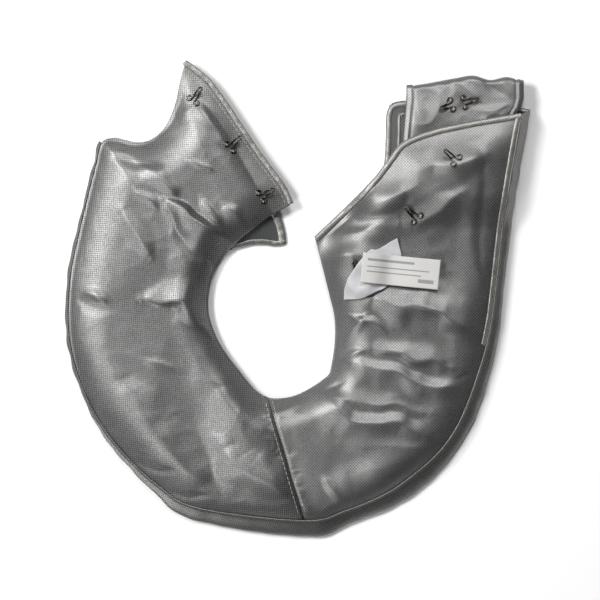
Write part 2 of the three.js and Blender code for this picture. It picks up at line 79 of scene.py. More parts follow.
# Ends of both pads, from the inner to the outer edge
FRONT_LEFT_END = [
    (-7, 96.5), (-14, 112), (-25, 127.5), (-42, 150.5), (-59, 176), (-73, 197), (-87, 216),
    (-100, 228), (-113, 237.5),
]
FRONT_RIGHT_END = [
    (14.7, 62.5), (46, 92), (73, 119.5), (88, 139), (102, 155.5), (130, 167), (168, 175.5),
    (218, 184),
]
BACK_LEFT_END = [(-14, 56), (-22, 87), (-67, 165), (-109, 224)]
BACK_RIGHT_END = [
    (15.5, 61), (48, 88), (76, 114), (84, 134), (86, 164), (87, 186), (96, 196), (130, 197),
    (180, 197), (228, 189),
]
MIDDLE = np.array((-2.5, 1.8))  # middle of the footprint, which is the frame's origin

# Layers, in millimetres
MM = 0.001  # metres in a millimetre
CLOTH = 1.2
LINER = 0.9
TOUCH = 0.3  # air between two layers
BACK_PAD = 11.0
FRONT_PAD = 11.5
POCKET = 3.4  # flattened space between the pads
SEWN = CLOTH + TOUCH + LINER  # an edge with no felt in it
# Ways from an edge to where a pad has its full thickness
INNER_SWELL = 24.0
RIM_SWELL = 20.0
END_SWELL = 26.0
END_HEM = 6.0  # flat cloth along both ends
# Factors on those ways at the inner edge and the rim, and how steep the pad starts
FRONT_FULLNESS = (1.4, 2.1, 0.9)
BACK_FULLNESS = (1.2, 2.0, 0.9)

# Neck flap, in millimetres
FLAP_FELT = 3.4
FLAP_INNER = 1.7  # half of the gap between the two leaves, with the liner
FLAP_HALF = FLAP_INNER + FLAP_FELT + TOUCH + CLOTH
FLAP_DROP = 5.0  # the flap's fold hangs this much lower than its root
OVER_FLAP = BACK_PAD + 3 * TOUCH + 2 * FLAP_HALF
FLAP_LEFT = [(101, 135), (102, 160), (105.5, 200), (105.5, 225)]
FLAP_RIGHT = [
    (206, 150), (208, 160), (211, 175), (214, 183), (219.5, 192), (221.5, 200), (221.5, 225),
]
FLAP_TAIL = (144, 167)  # where the leaves end under the front pad, left and right
FLAP_FOLD = list(enumerate((212, 214, 217, 220, 222.5, 218, 221, 216.5)))
FLAP_WIDTH = 116.0
FLAP_SWELL = 16.0
FLAP_WRINKLES = 0.8  # share of the full wrinkles that the thin flap shows

# How the front skin lies on its core, in millimetres
FOLD_GAIN = 1.25  # share of the listed heights at which the folds stand
FOLD_WANDER = 6.0  # how far a fold strays from its line
WRINKLES = 0.28
PUCKERS = 0.7
SEAM_DIP = 2.0
SEAM_DIP_REACH = 12.0
SEAM_GROOVE = 1.6
SEAM_GROOVE_REACH = 2.0
CREASE_FLOOR = -3.0  # creases level off below this

# Folds of the front skin: a line, the height, and how far the fold reaches on its left and on its
# right side. A height below zero is a crease.
FOLDS = [
    # left end
    ([(-103, 188), (-84, 172), (-67, 153)], 3.4, 12, 9),
    ([(-124, 183), (-110, 191)], 2.2, 8, 7),
    ([(-185, 143), (-165, 135), (-150, 134)], -2.3, 5, 8),
    ([(-160, 135), (-142, 125), (-128, 110), (-122, 100)], 3.4, 8, 10),
    ([(-110, 136), (-88, 130)], 1.6, 5, 5),
    ([(-162, 107), (-143, 91)], 2.2, 8, 8),
    ([(-128, 97), (-100, 78), (-72, 60)], 6.8, 7, 26),
    ([(-93, 100), (-76, 72)], 2.4, 5, 8),
    ([(-70, 94), (-53, 68)], 2.6, 5, 10),
    ([(-97, 42), (-86, 23)], 2.2, 5, 8),
    ([(-175, 85), (-150, 48)], 3.1, 11, 12),
    ([(-128, 87), (-115, 57), (-95, 38)], -1.7, 11, 6),
    # left side
    ([(-150, -2), (-120, 0), (-103, -18), (-87, -40)], 5.5, 21, 9),
    ([(-155, -58), (-135, -66), (-120, -68)], 1.4, 5, 8),
    ([(-220, 0), (-208, -7), (-188, -9)], -2.5, 5, 7),
    ([(-214, 6), (-192, 0)], 2.6, 10, 5),
    ([(-188, 105), (-190, -30), (-170, -88)], -3.7, 54, 52),
    ([(-128, 45), (-128, -50), (-104, -120), (-86, -170)], -4.5, 36, 60),
    ([(-174, -80), (-140, -136), (-96, -183)], 4.6, 26, 40),
    ([(-72, -146), (-56, -167), (-25, -184), (7, -215)], 6.0, 24, 34),
    ([(-72, -85), (-50, -140), (-18, -192)], 4.5, 30, 30),
    ([(-200, -112), (-188, -132)], -2.5, 7, 4),
    ([(-175, -152), (-150, -168), (-128, -168)], -3.4, 5, 7),
    ([(-140, -182), (-115, -194), (-92, -194)], -3.2, 5, 7),
    ([(-100, -200), (-60, -211), (0, -214), (45, -207)], 4.2, 16, 9),
    # below the hole
    ([(-28, -111), (-2, -102)], 2.4, 6, 8),
    ([(22, -94), (42, -114), (62, -121), (100, -123), (124, -132)], 6.0, 17, 26),
    ([(45, -143), (85, -146), (140, -147)], 1.6, 9, 18),
    ([(142, -150), (118, -167), (75, -193), (38, -209)], 7.5, 10, 44),
    ([(25, -178), (42, -198)], 2.2, 6, 5),
    ([(45, -100), (90, -104), (125, -112)], 3.0, 16, 7),
    ([(25, -92), (40, -84)], -1.6, 5, 5),
    # right side
    ([(72, 0), (105, -6), (130, -10), (152, -19), (182, -37)], 8.5, 26, 22),
    ([(42, -42), (62, -17)], 2.6, 7, 8),
    ([(50, -14), (62, -18), (82, -30)], 2.2, 5, 8),
    ([(72, -50), (110, -57), (145, -66)], 4.0, 16, 9),
    ([(38, -60), (60, -52)], 2.0, 5, 5),
    ([(57, -64), (95, -74), (125, -84), (158, -87)], 4.6, 12, 17),
    ([(155, -77), (180, -73)], -1.6, 4, 5),
    ([(152, -116), (166, -118)], -1.4, 3, 4),
    # right end
    ([(130, 132), (155, 134), (180, 140)], 4.7, 18, 16),
    ([(102, 77), (130, 81), (154, 103)], 4.2, 16, 19),
    ([(55, 85), (85, 100), (105, 108)], 5.2, 20, 15),
    ([(180, 120), (180, 30)], -2.5, 18, 8),
    ([(40, 66), (80, 72), (112, 72)], 2.6, 10, 16),
    ([(30, 38), (52, 46), (85, 38)], 3.4, 13, 14),
    ([(100, 147), (140, 161), (200, 171)], -2.1, 5, 11),
]
FLAP_FOLDS = [
    ([(138, 214), (152, 203), (160, 190)], 2.2, 5, 8),
    ([(150, 216), (165, 205), (178, 196)], 1.6, 7, 5),
    ([(175, 186), (205, 190)], 1.4, 5, 5),
    ([(114, 205), (120, 178)], 1.4, 6, 5),
    ([(182, 216), (200, 204)], -1.6, 4, 6),
    ([(196, 218), (212, 200)], 1.6, 6, 6),
]

# Hooks: place of the eyelets, direction of the tongue in degrees, and its length
FRONT_HOOKS = {
    "left_hook_1": (-106, 197.5, 56, 15), "left_hook_2": (-69, 151, 45, 15.5),
    "left_hook_3": (-38.5, 102, 31, 15.5), "right_hook_1": (58.6, 24, 112, 15.5),
    "right_hook_2": (115, 80, 135, 15.5), "right_hook_3": (153.5, 137, 139, 15.5),
}
FLAP_HOOKS = {"flap_hook_1": (149.5, 193, 200, 12), "flap_hook_2": (162, 195.5, 14, 14.5)}
EYELET = 2.3  # radius of an eyelet at the middle of the wire
EYELET_REACH = 4.6  # from the hook's middle line to the middle of an eyelet
WIRE_LEVEL = 1.15  # height of the wire's middle above the cloth
TIP_LIFT = 4.0  # how far a tongue's tip stands off the cloth
TACK_RADIUS = 0.45  # thread that holds an eyelet

# Label: middle, length, width and turn in degrees
LABEL = ((99, 28.4), 77, 29.5, -5.6)
# Grey fields in cells of the label's net: from and to along it, from and to across it
LABEL_FIELDS = ((4, 40, 18, 20), (4, 52, 13, 14), (4, 46, 9, 10), (44, 56, 4, 7))
# Edges of the torn tape, from its lower to its upper tip
STRIP_LEFT = [(43, 0), (45, 15), (52, 29), (67, 48), (76, 50), (86, 55.5), (96, 61)]
STRIP_RIGHT = [(58, 1), (66, 3.5), (75, 8), (85, 13), (93, 26), (99, 37), (100, 45)]

# Rows of a skin's net near its edges, in millimetres from the edge
EDGE_ROWS = (0, 0.7, 1.6, 2.8, 4.2, 5.6, 7, 8.6, 10.4)
OVERCAST_PITCH = 2.4
OVERCAST_RADIUS = 0.3

# Lamps: share of the key light's power, and place in metres
LAMPS = {
    "key_light": (1.0, (-1.5, 0.8, 1.95)),
    "low_light": (0.36, (-1.25, -1.2, 1.95)),
    "high_light": (0.58, (0.3, 1.65, 1.95)),
}
SENSOR = 36  # width of the camera's sensor, in millimetres


# Curves and distances
def smoothstep(x, low, high):
    """0 below low, 1 above high, with a soft rise between them."""
    t = np.clip((np.asarray(x, float) - low) / (high - low), 0, 1)
    return t * t * (3 - 2 * t)


def swell(distance, reach, power=0.8):
    """Share of the full thickness at a distance from an edge."""
    return np.sin(math.pi / 2 * np.clip(np.asarray(distance, float) / reach, 0, 1)) ** power


def spline(points, t):
    """Smooth curve through points, read at t from 0 to 1."""
    points = np.asarray(points, float)
    last = len(points) - 1
    p = np.clip(np.asarray(t, float), 0, 1) * last
    i = np.minimum(p.astype(int), last - 1)
    w = (p - i)[..., None]
    p0 = points[np.maximum(i - 1, 0)]
    p1 = points[i]
    p2 = points[i + 1]
    p3 = points[np.minimum(i + 2, last)]
    v0 = (p2 - p0) / 2
    v1 = (p3 - p1) / 2
    cubic = (2 * p1 - 2 * p2 + v0 + v1) * w**3
    return cubic + (-3 * p1 + 3 * p2 - 2 * v0 - v1) * w**2 + v0 * w + p1


def run_along(line):
    """Length of a line up to each of its points."""
    steps = np.linalg.norm(np.diff(line, axis=0), axis=1)
    return np.concatenate([[0], np.cumsum(steps)])


def even_share(points, share):
    """The t at which a share of the curve's length is reached."""
    t = np.linspace(0, 1, 201)
    run = run_along(spline(points, t))
    return np.interp(share, run / run[-1], t)


def distance_to(line, places):
    """Shortest way from each place to a line of points."""
    nearest = np.full(places.shape[:-1], np.inf)
    for a, b in zip(line[:-1], line[1:]):
        leg = b - a
        share = np.clip(((places - a) @ leg) / max(leg @ leg, 1e-9), 0, 1)
        gap = places - a - share[..., None] * leg
        nearest = np.minimum(nearest, np.hypot(gap[..., 0], gap[..., 1]))
    return nearest


def inside(outline, places):
    """Says of each place whether it lies within an outline."""
    x = places[..., 0]
    y = places[..., 1]
    hit = np.zeros(x.shape, bool)
    for a, b in zip(outline, np.roll(outline, 1, axis=0)):
        if a[1] == b[1]:
            continue
        crosses = (a[1] > y) != (b[1] > y)
        hit ^= crosses & (x < (b[0] - a[0]) * (y - a[1]) / (b[1] - a[1]) + a[0])
    return hit


def noise(places, size, seed):
    """Smooth noise from 0 to 1 with hills about size millimetres apart."""
    table = np.random.RandomState(seed).rand(64, 64)
    p = places / size + 1000
    i = np.floor(p).astype(int)
    f = p - i
    f = f**3 * (f * (f * 6 - 15) + 10)
    x0 = i[..., 0] % 64
    y0 = i[..., 1] % 64
    x1 = (x0 + 1) % 64
    y1 = (y0 + 1) % 64
    low = table[x0, y0] * (1 - f[..., 0]) + table[x1, y0] * f[..., 0]
    high = table[x0, y1] * (1 - f[..., 0]) + table[x1, y1] * f[..., 0]
    return low * (1 - f[..., 1]) + high * f[..., 1]


def turned(places, degrees):
    """Places turned about the origin."""
    a = math.radians(degrees)
    x = places[..., 0]
    y = places[..., 1]
    return np.stack([x * math.cos(a) - y * math.sin(a), x * math.sin(a) + y * math.cos(a)], -1)


def crumple(places, seed):
    """Small irregular wrinkles with sharp ridges and soft hollows, from about -1 to 1."""
    total = 0
    for size, height, turn in ((44, 1.5, 20), (21, 0.6, 75), (10, 0.16, 130)):
        wave = noise(turned(places, turn), size, seed + int(size))
        total = total + height * (1 - 2 * np.abs(2 * wave - 1) ** 0.8)
    return total


class Horseshoe:
    """A pad seen from above. Stations run along it, and across it goes from the inner edge."""

    def __init__(self, stations, left_end, right_end, left_reach, right_reach):
        self.stations = np.asarray(stations, float)
        self.ends = [np.asarray(left_end, float), np.asarray(right_end, float)]
        self.reach = [left_reach, right_reach]
        t = np.linspace(0, 1, LAST * 4 + 1)
        self.inner = spline(self.stations[:, :2], t)
        self.outer = spline(self.stations[:, 2:], t)
        self.left = spline(self.ends[0], np.linspace(0, 1, 41))
        self.right = spline(self.ends[1], np.linspace(0, 1, 61))
        self.outline = np.concatenate([self.inner, self.right, self.outer[::-1], self.left[::-1]])

    def at(self, station, across):
        """Places at stations and shares of the width."""
        station, across = np.broadcast_arrays(np.asarray(station, float), np.asarray(across, float))
        inner = spline(self.stations[:, :2], station / LAST)
        outer = spline(self.stations[:, 2:], station / LAST)
        place = inner + (outer - inner) * across[..., None]
        pulls = (
            np.clip(1 - station / self.reach[0], 0, 1) ** 3,
            np.clip(1 - (LAST - station) / self.reach[1], 0, 1) ** 3,
        )
        for end, pull in zip(self.ends, pulls):
            own = spline(end, even_share(end, across))
            chord = end[0] + (end[-1] - end[0]) * across[..., None]
            place = place + (own - chord) * pull[..., None]
        return place

    def width(self, station):
        """Straight way from the inner to the outer edge."""
        inner = spline(self.stations[:, :2], np.asarray(station, float) / LAST)
        outer = spline(self.stations[:, 2:], np.asarray(station, float) / LAST)
        return np.linalg.norm(outer - inner, axis=-1)

    def columns(self, first, last, step):
        """Stations from first to last, about step millimetres apart along the middle."""
        s = np.linspace(first, last, 400)
        run = run_along(self.at(s, 0.5))
        count = int(run[-1] / step) + 1
        return np.interp(np.linspace(0, run[-1], count + 1), run, s)

    def fullness(self, places, inner=1.0, rim=1.0, power=0.8):
        """Share of the full thickness. The two factors lengthen the way up from the edges."""
        full = swell(distance_to(self.inner, places), INNER_SWELL * inner, power)
        full = full * swell(distance_to(self.outer, places), RIM_SWELL * rim, power)
        full = full * swell(distance_to(self.left, places) - END_HEM, END_SWELL * inner, power)
        full = full * swell(distance_to(self.right, places) - END_HEM, END_SWELL * inner, power)
        return full * inside(self.outline, places)


def back_stations():
    """Stations of the back pad: its own left end, then the front pad's with a wider reach."""
    rows = [list(row) for row in BACK_LEFT]
    for i in range(CORNER, LAST + 1):
        inner = FRONT[i, :2]
        outer = FRONT[i, 2:]
        across = (outer - inner) / np.linalg.norm(outer - inner)
        rows.append([*(inner + across * BACK_SETBACK), *(outer + across * BACK_REACH[i - CORNER])])
    return rows


front = Horseshoe(FRONT, FRONT_LEFT_END, FRONT_RIGHT_END, 5, 10)
back = Horseshoe(back_stations(), BACK_LEFT_END, BACK_RIGHT_END, 5, 14)
seam_line = np.array([front.at(SEAM, 0), front.at(SEAM, 1)])


# Heights, in millimetres above what the blanket lies on
def flap_middle(y):
    """Height between the two leaves of the flap."""
    return BACK_PAD + TOUCH + FLAP_HALF - FLAP_DROP * smoothstep(y, 172, 224)


def back_top(places):
    """Height of the back liner's upper face."""
    return SEWN + (BACK_PAD - SEWN) * back.fullness(places, *BACK_FULLNESS)


def front_under(places):
    """Height of the front liner's lower face, which rests on the back pad and on the flap."""
    side = smoothstep(places[..., 0], -120, 100)
    rim = 6 * side * (1 - smoothstep(distance_to(front.outer, places), 0, 45))
    end = 5 * (1 - smoothstep(distance_to(front.left, places), 0, 60))
    resting = back_top(places) + POCKET + rim + end
    on_flap = smoothstep(places[..., 0], 30, 75) * smoothstep(places[..., 1], 68, 105)
    return resting + (np.maximum(resting, OVER_FLAP) - resting) * on_flap


def fold_height(places, folds):
    """Height of folds, sharp along their lines, narrower and lower towards both ends."""
    total = np.zeros(places.shape[:-1])
    wander = np.stack([noise(places, 19, 61), noise(places, 19, 62)], -1) - 0.5
    places = places + FOLD_WANDER * wander
    for points, rise, left, right in folds:
        line = np.array(points, float)
        line[0] += 0.12 * (line[0] - line[1])
        line[-1] += 0.12 * (line[-1] - line[-2])
        if len(line) > 2:
            line = spline(line, np.linspace(0, 1, 9))
        legs = np.linalg.norm(np.diff(line, axis=0), axis=1)
        nearest = np.full(places.shape[:-1], np.inf)
        side = np.zeros(places.shape[:-1])
        along = np.zeros(places.shape[:-1])
        for i, (a, b) in enumerate(zip(line[:-1], line[1:])):
            leg = b - a
            way = places - a
            held = np.clip((way @ leg) / (leg @ leg), 0, 1)
            gap = way - held[..., None] * leg
            distance = np.hypot(gap[..., 0], gap[..., 1])
            closer = distance < nearest
            nearest = np.where(closer, distance, nearest)
            own_side = (leg[0] * way[..., 1] - leg[1] * way[..., 0]) / legs[i]
            side = np.where(closer, own_side, side)
            own_share = (legs[:i].sum() + held * legs[i]) / legs.sum()
            along = np.where(closer, own_share, along)
        lens = np.sin(math.pi * np.clip(along, 0.03, 0.97)) ** 0.6
        reach = np.where(side > 0, left, right) * (0.3 + 0.7 * lens)
        slope = 1 - np.sqrt((nearest / reach) ** 2 + 0.008)
        tent = (slope + np.sqrt(slope**2 + 0.06)) / 2
        tent = tent * (1 - smoothstep(nearest / reach, 0.9, 1.6))
        total += rise * lens * tent
    return total


def front_skin(places):
    """Height of the front skin's upper face."""
    to_seam = distance_to(seam_line, places)
    to_rim = distance_to(front.outer, places)
    full = front.fullness(places, *FRONT_FULLNESS)
    height = FOLD_GAIN * fold_height(places, FOLDS)
    height = height - SEAM_DIP * np.exp(-((to_seam / SEAM_DIP_REACH) ** 2))
    beside_seam = 0.45 * np.exp(-((to_seam - 6) ** 2) / 30)
    beside_rim = 0.4 * np.exp(-((to_rim - 9) ** 2) / 40)
    pucker = np.sin(noise(places, 16, 3) * 22) * (beside_seam + beside_rim)
    height = height + WRINKLES * crumple(places, 5) + PUCKERS * pucker
    deep = CREASE_FLOOR - 2 * (1 - np.exp((height - CREASE_FLOOR) / 2))
    height = np.where(height < CREASE_FLOOR, deep, height)
    groove = SEAM_GROOVE * np.exp(-((to_seam / SEAM_GROOVE_REACH) ** 2))
    return front_under(places) + SEWN + (FRONT_PAD - SEWN + height) * full - groove


# Meshes
def to_frame(points):
    """Millimetres in the plan to metres in the frame."""
    points = np.array(points, float)
    points[..., :2] -= MIDDLE
    return points * MM


def new_piece(name, verts, faces, material, slot):
    """Smooth object with a material, carried by the root. The slot argument is not used."""
    mesh = bpy.data.meshes.new(name)
    mesh.from_pydata([tuple(v) for v in verts], [], [tuple(int(i) for i in f) for f in faces])
    mesh.validate()
    bm = bmesh.new()
    bm.from_mesh(mesh)
    bmesh.ops.recalc_face_normals(bm, faces=bm.faces)
    bm.to_mesh(mesh)
    bm.free()
    mesh.polygons.foreach_set("use_smooth", [True] * len(mesh.polygons))
    mesh.materials.append(material)
    piece = bpy.data.objects.new(name, mesh)
    bpy.context.scene.collection.objects.link(piece)
    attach(piece, "root")
    return piece


def grid_faces(columns, rows, first=0, wrap=False):
    """Four-sided faces of a net, whose rows close to rings with wrap."""
    faces = []
    for i in range(columns - 1):
        a = first + i * rows
        for j in range(rows - (0 if wrap else 1)):
            k = (j + 1) % rows
            faces.append((a + j, a + k, a + rows + k, a + rows + j))
    return faces


def sheet_mesh(top, under):
    """Closed solid between two nets of points that match one to one."""
    columns, rows = top.shape[:2]
    verts = np.concatenate([top.reshape(-1, 3), under.reshape(-1, 3)])
    far = columns * rows
    faces = grid_faces(columns, rows)
    faces += [tuple(reversed(f)) for f in grid_faces(columns, rows, far)]
    edge = [i * rows for i in range(columns)]
    edge += [(columns - 1) * rows + j for j in range(1, rows)]
    edge += [i * rows + rows - 1 for i in range(columns - 2, -1, -1)]
    edge += [j for j in range(rows - 2, 0, -1)]
    for a, b in zip(edge, edge[1:] + edge[:1]):
        faces.append((a, b, b + far, a + far))
    return verts, faces


def with_height(places, height):
    """Places of the plan as points at a height."""
    level = np.asarray(height)[..., None] * np.ones(places.shape[:-1])[..., None]
    return np.concatenate([places, level], -1)


def layer_mesh(places, high, low):
    """Closed solid between two heights over one net of places."""
    return sheet_mesh(to_frame(with_height(places, high)), to_frame(with_height(places, low)))


def share_rows(width, step, edge=EDGE_ROWS):
    """Shares of a width: close together near both edges, even in between."""
    near = np.array(edge) / width
    count = max(2, int((1 - 2 * near[-1]) * width / step))
    even = np.linspace(near[-1], 1 - near[-1], count + 1)
    return np.concatenate([near[:-1], even, 1 - near[-2::-1]])


def tube(points, radius, sides):
    """Round wire or thread along points, with rounded ends."""
    points = np.asarray(points, float)
    ahead = np.gradient(points, axis=0)
    ahead /= np.linalg.norm(ahead, axis=1)[:, None]
    side = np.cross(ahead[0], (0, 0, 1.0))
    if np.linalg.norm(side) < 1e-6:
        side = np.array((1.0, 0, 0))
    rings = []
    angles = np.linspace(0, 2 * math.pi, sides, endpoint=False)
    for i, (point, forward) in enumerate(zip(points, ahead)):
        side = side - forward * (side @ forward)
        side /= np.linalg.norm(side)
        up = np.cross(side, forward)
        circle = np.cos(angles)[:, None] * side + np.sin(angles)[:, None] * up
        if i == 0:
            rings.append(point - forward * radius * 0.7 + circle * radius * 0.6)
        rings.append(point + circle * radius)
        if i == len(points) - 1:
            rings.append(point + forward * radius * 0.7 + circle * radius * 0.6)
    rings = np.array(rings)
    count = len(rings)
    faces = grid_faces(count, sides, wrap=True)
    faces.append(tuple(range(sides))[::-1])
    faces.append(tuple(range((count - 1) * sides, count * sides)))
    return rings.reshape(-1, 3), faces


def joined(parts):
    """Several meshes, given as verts and faces, in one."""
    verts = []
    faces = []
    for v, f in parts:
        start = sum(len(x) for x in verts)
        verts.append(np.asarray(v))
        faces += [tuple(i + start for i in face) for face in f]
    return np.concatenate(verts), faces


# Materials
def linear(code):
    """A colour written as #rrggbb in the linear values that Blender takes."""
    out = []
    for i in (1, 3, 5):
        c = int(code[i:i + 2], 16) / 255
        out.append(c / 12.92 if c <= 0.04045 else ((c + 0.055) / 1.055) ** 2.4)
    return (*out, 1.0)


def node(tree, kind, settings=(), **links):
    """Adds a node with its settings, and links or sets its inputs by name."""
    made = tree.nodes.new(kind)
    for key, value in dict(settings).items():
        setattr(made, key, value)
    for key, value in links.items():
        numbered = key[0] == "i" and key[1:].isdigit()
        socket = made.inputs[int(key[1:]) if numbered else key.replace("_", " ")]
        if isinstance(value, bpy.types.NodeSocket):
            tree.links.new(value, socket)
        else:
            socket.default_value = value
    return made


def new_material(name, **values):
    """Material with values on its shader's sockets."""
    material = bpy.data.materials.new(name)
    material.use_nodes = True
    shader = material.node_tree.nodes["Principled BSDF"]
    for key, value in values.items():
        shader.inputs[key.replace("_", " ")].default_value = value
    return material, material.node_tree, shader


def thread_pattern(tree, pitch, turn):
    """Plain weave: height from 0 to 1 of warp and weft threads pitch millimetres apart."""
    place = node(tree, "ShaderNodeTexCoord").outputs["Object"]
    scale = 1 / (pitch * MM)
    rotation = (0, 0, math.radians(turn))
    turned_place = node(
        tree, "ShaderNodeMapping", Vector=place, Rotation=rotation, Scale=(scale,) * 3
    ).outputs[0]
    axes = node(tree, "ShaderNodeSeparateXYZ", Vector=turned_place)
    waves = []
    for axis in ("X", "Y"):
        angle = node(tree, "ShaderNodeMath", {"operation": "MULTIPLY"}, i0=axes.outputs[axis], i1=math.pi)
        waves.append(node(tree, "ShaderNodeMath", {"operation": "SINE"}, i0=angle.outputs[0]).outputs[0])
    product = node(tree, "ShaderNodeMath", {"operation": "MULTIPLY"}, i0=waves[0], i1=waves[1])
    lifted = node(tree, "ShaderNodeMath", {"operation": "ABSOLUTE"}, i0=product.outputs[0])
    return place, lifted.outputs[0]


# Sizes of the patterns, in millimetres
WEAVE = 2.0  # real threads are about 0.6 apart, too fine to show
WEAVE_DEPTH = 0.16
COATING_PATCH = 35.714  # where the silver coating is a little thicker or thinner
COATING_GRAIN = 1.25  # real grain is finer, too fine to show
GRAIN_DEPTH = 0.2
KNIT = 1.4
KNIT_DEPTH = 0.3
FIBRE = 1.4286  # clumps of felt fibres, as single fibres are too fine to show
HEAT_TINT = 6.25  # stretches of wire with one tint
PAPER_CLOUD = 16.667
TWIST = 1.1111  # real thread is twisted tighter, too fine to show


def silver_cloth(name, turn, light, dark):
    """Glass cloth, plain woven and silver coated. Gives the grey satin sheen with a fine grain; its
    raised threads are painted lighter and the gaps between them darker, a painted highlight and painted
    shade of the weave.
    """
    material, tree, shader = new_material(name, Metallic=0.88, Roughness=0.47, Specular_IOR_Level=0.5)
    place, threads = thread_pattern(tree, WEAVE, turn)
    patches = node(
        tree, "ShaderNodeTexNoise", Vector=place, Scale=1000 / COATING_PATCH, Detail=5.0, Roughness=0.6
    ).outputs[0]
    grain = node(
        tree, "ShaderNodeTexNoise", Vector=place, Scale=1000 / COATING_GRAIN, Detail=3.0
    ).outputs[0]
    # Tone from the weave's height is a painted highlight on the raised threads and painted shade between
    # them; the coating patches and the grain add tone that differs at random
    tone = 0.0
    for part, share in ((threads, 0.5), (patches, 0.35), (grain, 0.6)):
        tone = node(
            tree, "ShaderNodeMath", {"operation": "MULTIPLY_ADD"}, i0=part, i1=share, i2=tone
        ).outputs[0]
    ramp = node(tree, "ShaderNodeValToRGB", Fac=tone)
    ramp.color_ramp.elements[0].position = 0.22
    ramp.color_ramp.elements[0].color = dark
    ramp.color_ramp.elements[1].position = 0.95
    ramp.color_ramp.elements[1].color = light
    tree.links.new(ramp.outputs[0], shader.inputs["Base Color"])
    bump = node(tree, "ShaderNodeBump", Height=threads, Strength=0.34, Distance=WEAVE_DEPTH * MM)
    rough = node(
        tree, "ShaderNodeBump", Height=grain, Strength=0.3, Distance=GRAIN_DEPTH * MM,
        Normal=bump.outputs[0],
    )
    tree.links.new(rough.outputs[0], shader.inputs["Normal"])
    return material


def knitted_liner():
    """Knitted stainless wire over dark cloth. Gives the dark grey inside."""
    material, tree, shader = new_material("knitted_wire_liner", Metallic=0.5, Roughness=0.6)
    threads = thread_pattern(tree, KNIT, 30)[1]
    ramp = node(tree, "ShaderNodeValToRGB", Fac=threads)
    ramp.color_ramp.elements[0].color = linear("#2a2b2c")
    ramp.color_ramp.elements[1].color = linear("#6c6d6e")
    tree.links.new(ramp.outputs[0], shader.inputs["Base Color"])
    bump = node(tree, "ShaderNodeBump", Height=threads, Strength=0.6, Distance=KNIT_DEPTH * MM)
    tree.links.new(bump.outputs[0], shader.inputs["Normal"])
    return material


def needled_felt():
    """Needled glass felt. Cream white and quite matt."""
    material, tree, shader = new_material("needled_glass_felt", Roughness=0.95)
    place = node(tree, "ShaderNodeTexCoord").outputs["Object"]
    fibres = node(
        tree, "ShaderNodeTexNoise", Vector=place, Scale=1000 / FIBRE, Detail=4.0
    ).outputs[0]
    ramp = node(tree, "ShaderNodeValToRGB", Fac=fibres)
    ramp.color_ramp.elements[0].color = linear("#c9c4b8")
    ramp.color_ramp.elements[1].color = linear("#efece4")
    tree.links.new(ramp.outputs[0], shader.inputs["Base Color"])
    return material


def drawn_wire():
    """Drawn stainless wire, tinted by heat. Gives the thin dark hooks with small glints."""
    material, tree, shader = new_material("drawn_stainless_wire", Metallic=1.0, Roughness=0.28)
    place = node(tree, "ShaderNodeTexCoord").outputs["Object"]
    tint = node(
        tree, "ShaderNodeTexNoise", Vector=place, Scale=1000 / HEAT_TINT, Detail=3.0
    ).outputs[0]
    ramp = node(tree, "ShaderNodeValToRGB", Fac=tint)
    ramp.color_ramp.elements[0].color = linear("#2b2826")
    ramp.color_ramp.elements[1].color = linear("#6f6a63")
    tree.links.new(ramp.outputs[0], shader.inputs["Base Color"])
    return material


def plain_paper(name, base, roughness=0.7):
    """Uncoated paper or film with a faint cloudy tone."""
    material, tree, shader = new_material(name, Roughness=roughness)
    place = node(tree, "ShaderNodeTexCoord").outputs["Object"]
    cloud = node(
        tree, "ShaderNodeTexNoise", Vector=place, Scale=1000 / PAPER_CLOUD, Detail=4.0
    ).outputs[0]
    ramp = node(tree, "ShaderNodeValToRGB", Fac=cloud)
    ramp.color_ramp.elements[0].color = tuple(c * 0.9 for c in base[:3]) + (1.0,)
    ramp.color_ramp.elements[1].color = base
    tree.links.new(ramp.outputs[0], shader.inputs["Base Color"])
    return material


def sewing_thread():
    """Twisted glass sewing thread, silver grey. Catches light as small pale dashes."""
    material, tree, shader = new_material("twisted_glass_thread", Roughness=0.5, Metallic=0.2)
    place = node(tree, "ShaderNodeTexCoord").outputs["Object"]
    twist = node(tree, "ShaderNodeTexWave", Vector=place, Scale=1000 / TWIST).outputs[0]
    # The twist's bands are painted lighter and darker: a painted highlight and painted shade of the plies
    ramp = node(tree, "ShaderNodeValToRGB", Fac=twist)
    ramp.color_ramp.elements[0].color = linear("#85837f")
    ramp.color_ramp.elements[1].color = linear("#bebbb5")
    tree.links.new(ramp.outputs[0], shader.inputs["Base Color"])
    return material


finished_materials = {}


def material(name):
    """Makes each material once."""
    settings = bpy.context.scene.heat_blanket
    cloth = (settings.cloth_light, settings.cloth_dark)
    # The rim and the hem use the same silver cloth, so their weave also carries the painted highlight on
    # raised threads and painted shade between them
    rim = (linear("#8d8c8a"), linear("#3a3b3b"))
    hem = (linear("#a9a7a3"), linear("#4c4c4c"))
    makers = {
        "left": lambda: silver_cloth("silver_cloth_straight_weave", 4, *cloth),
        "right": lambda: silver_cloth("silver_cloth_diagonal_weave", 45, *cloth),
        "rim": lambda: silver_cloth("silver_cloth_rim", 20, *rim),
        "hem": lambda: silver_cloth("silver_cloth_hem", 30, *hem),
        "liner": knitted_liner,
        "felt": needled_felt,
        "wire": drawn_wire,
        "label": lambda: plain_paper("label_paper", settings.label),
        "print": lambda: plain_paper("label_grey_print", linear("#8c8c8c")),
        "tape": lambda: plain_paper("torn_film_tape", linear("#b9b9bb"), 0.45),
        "thread": sewing_thread,
    }
    if name not in finished_materials:
        finished_materials[name] = makers[name]()
    return finished_materials[name]


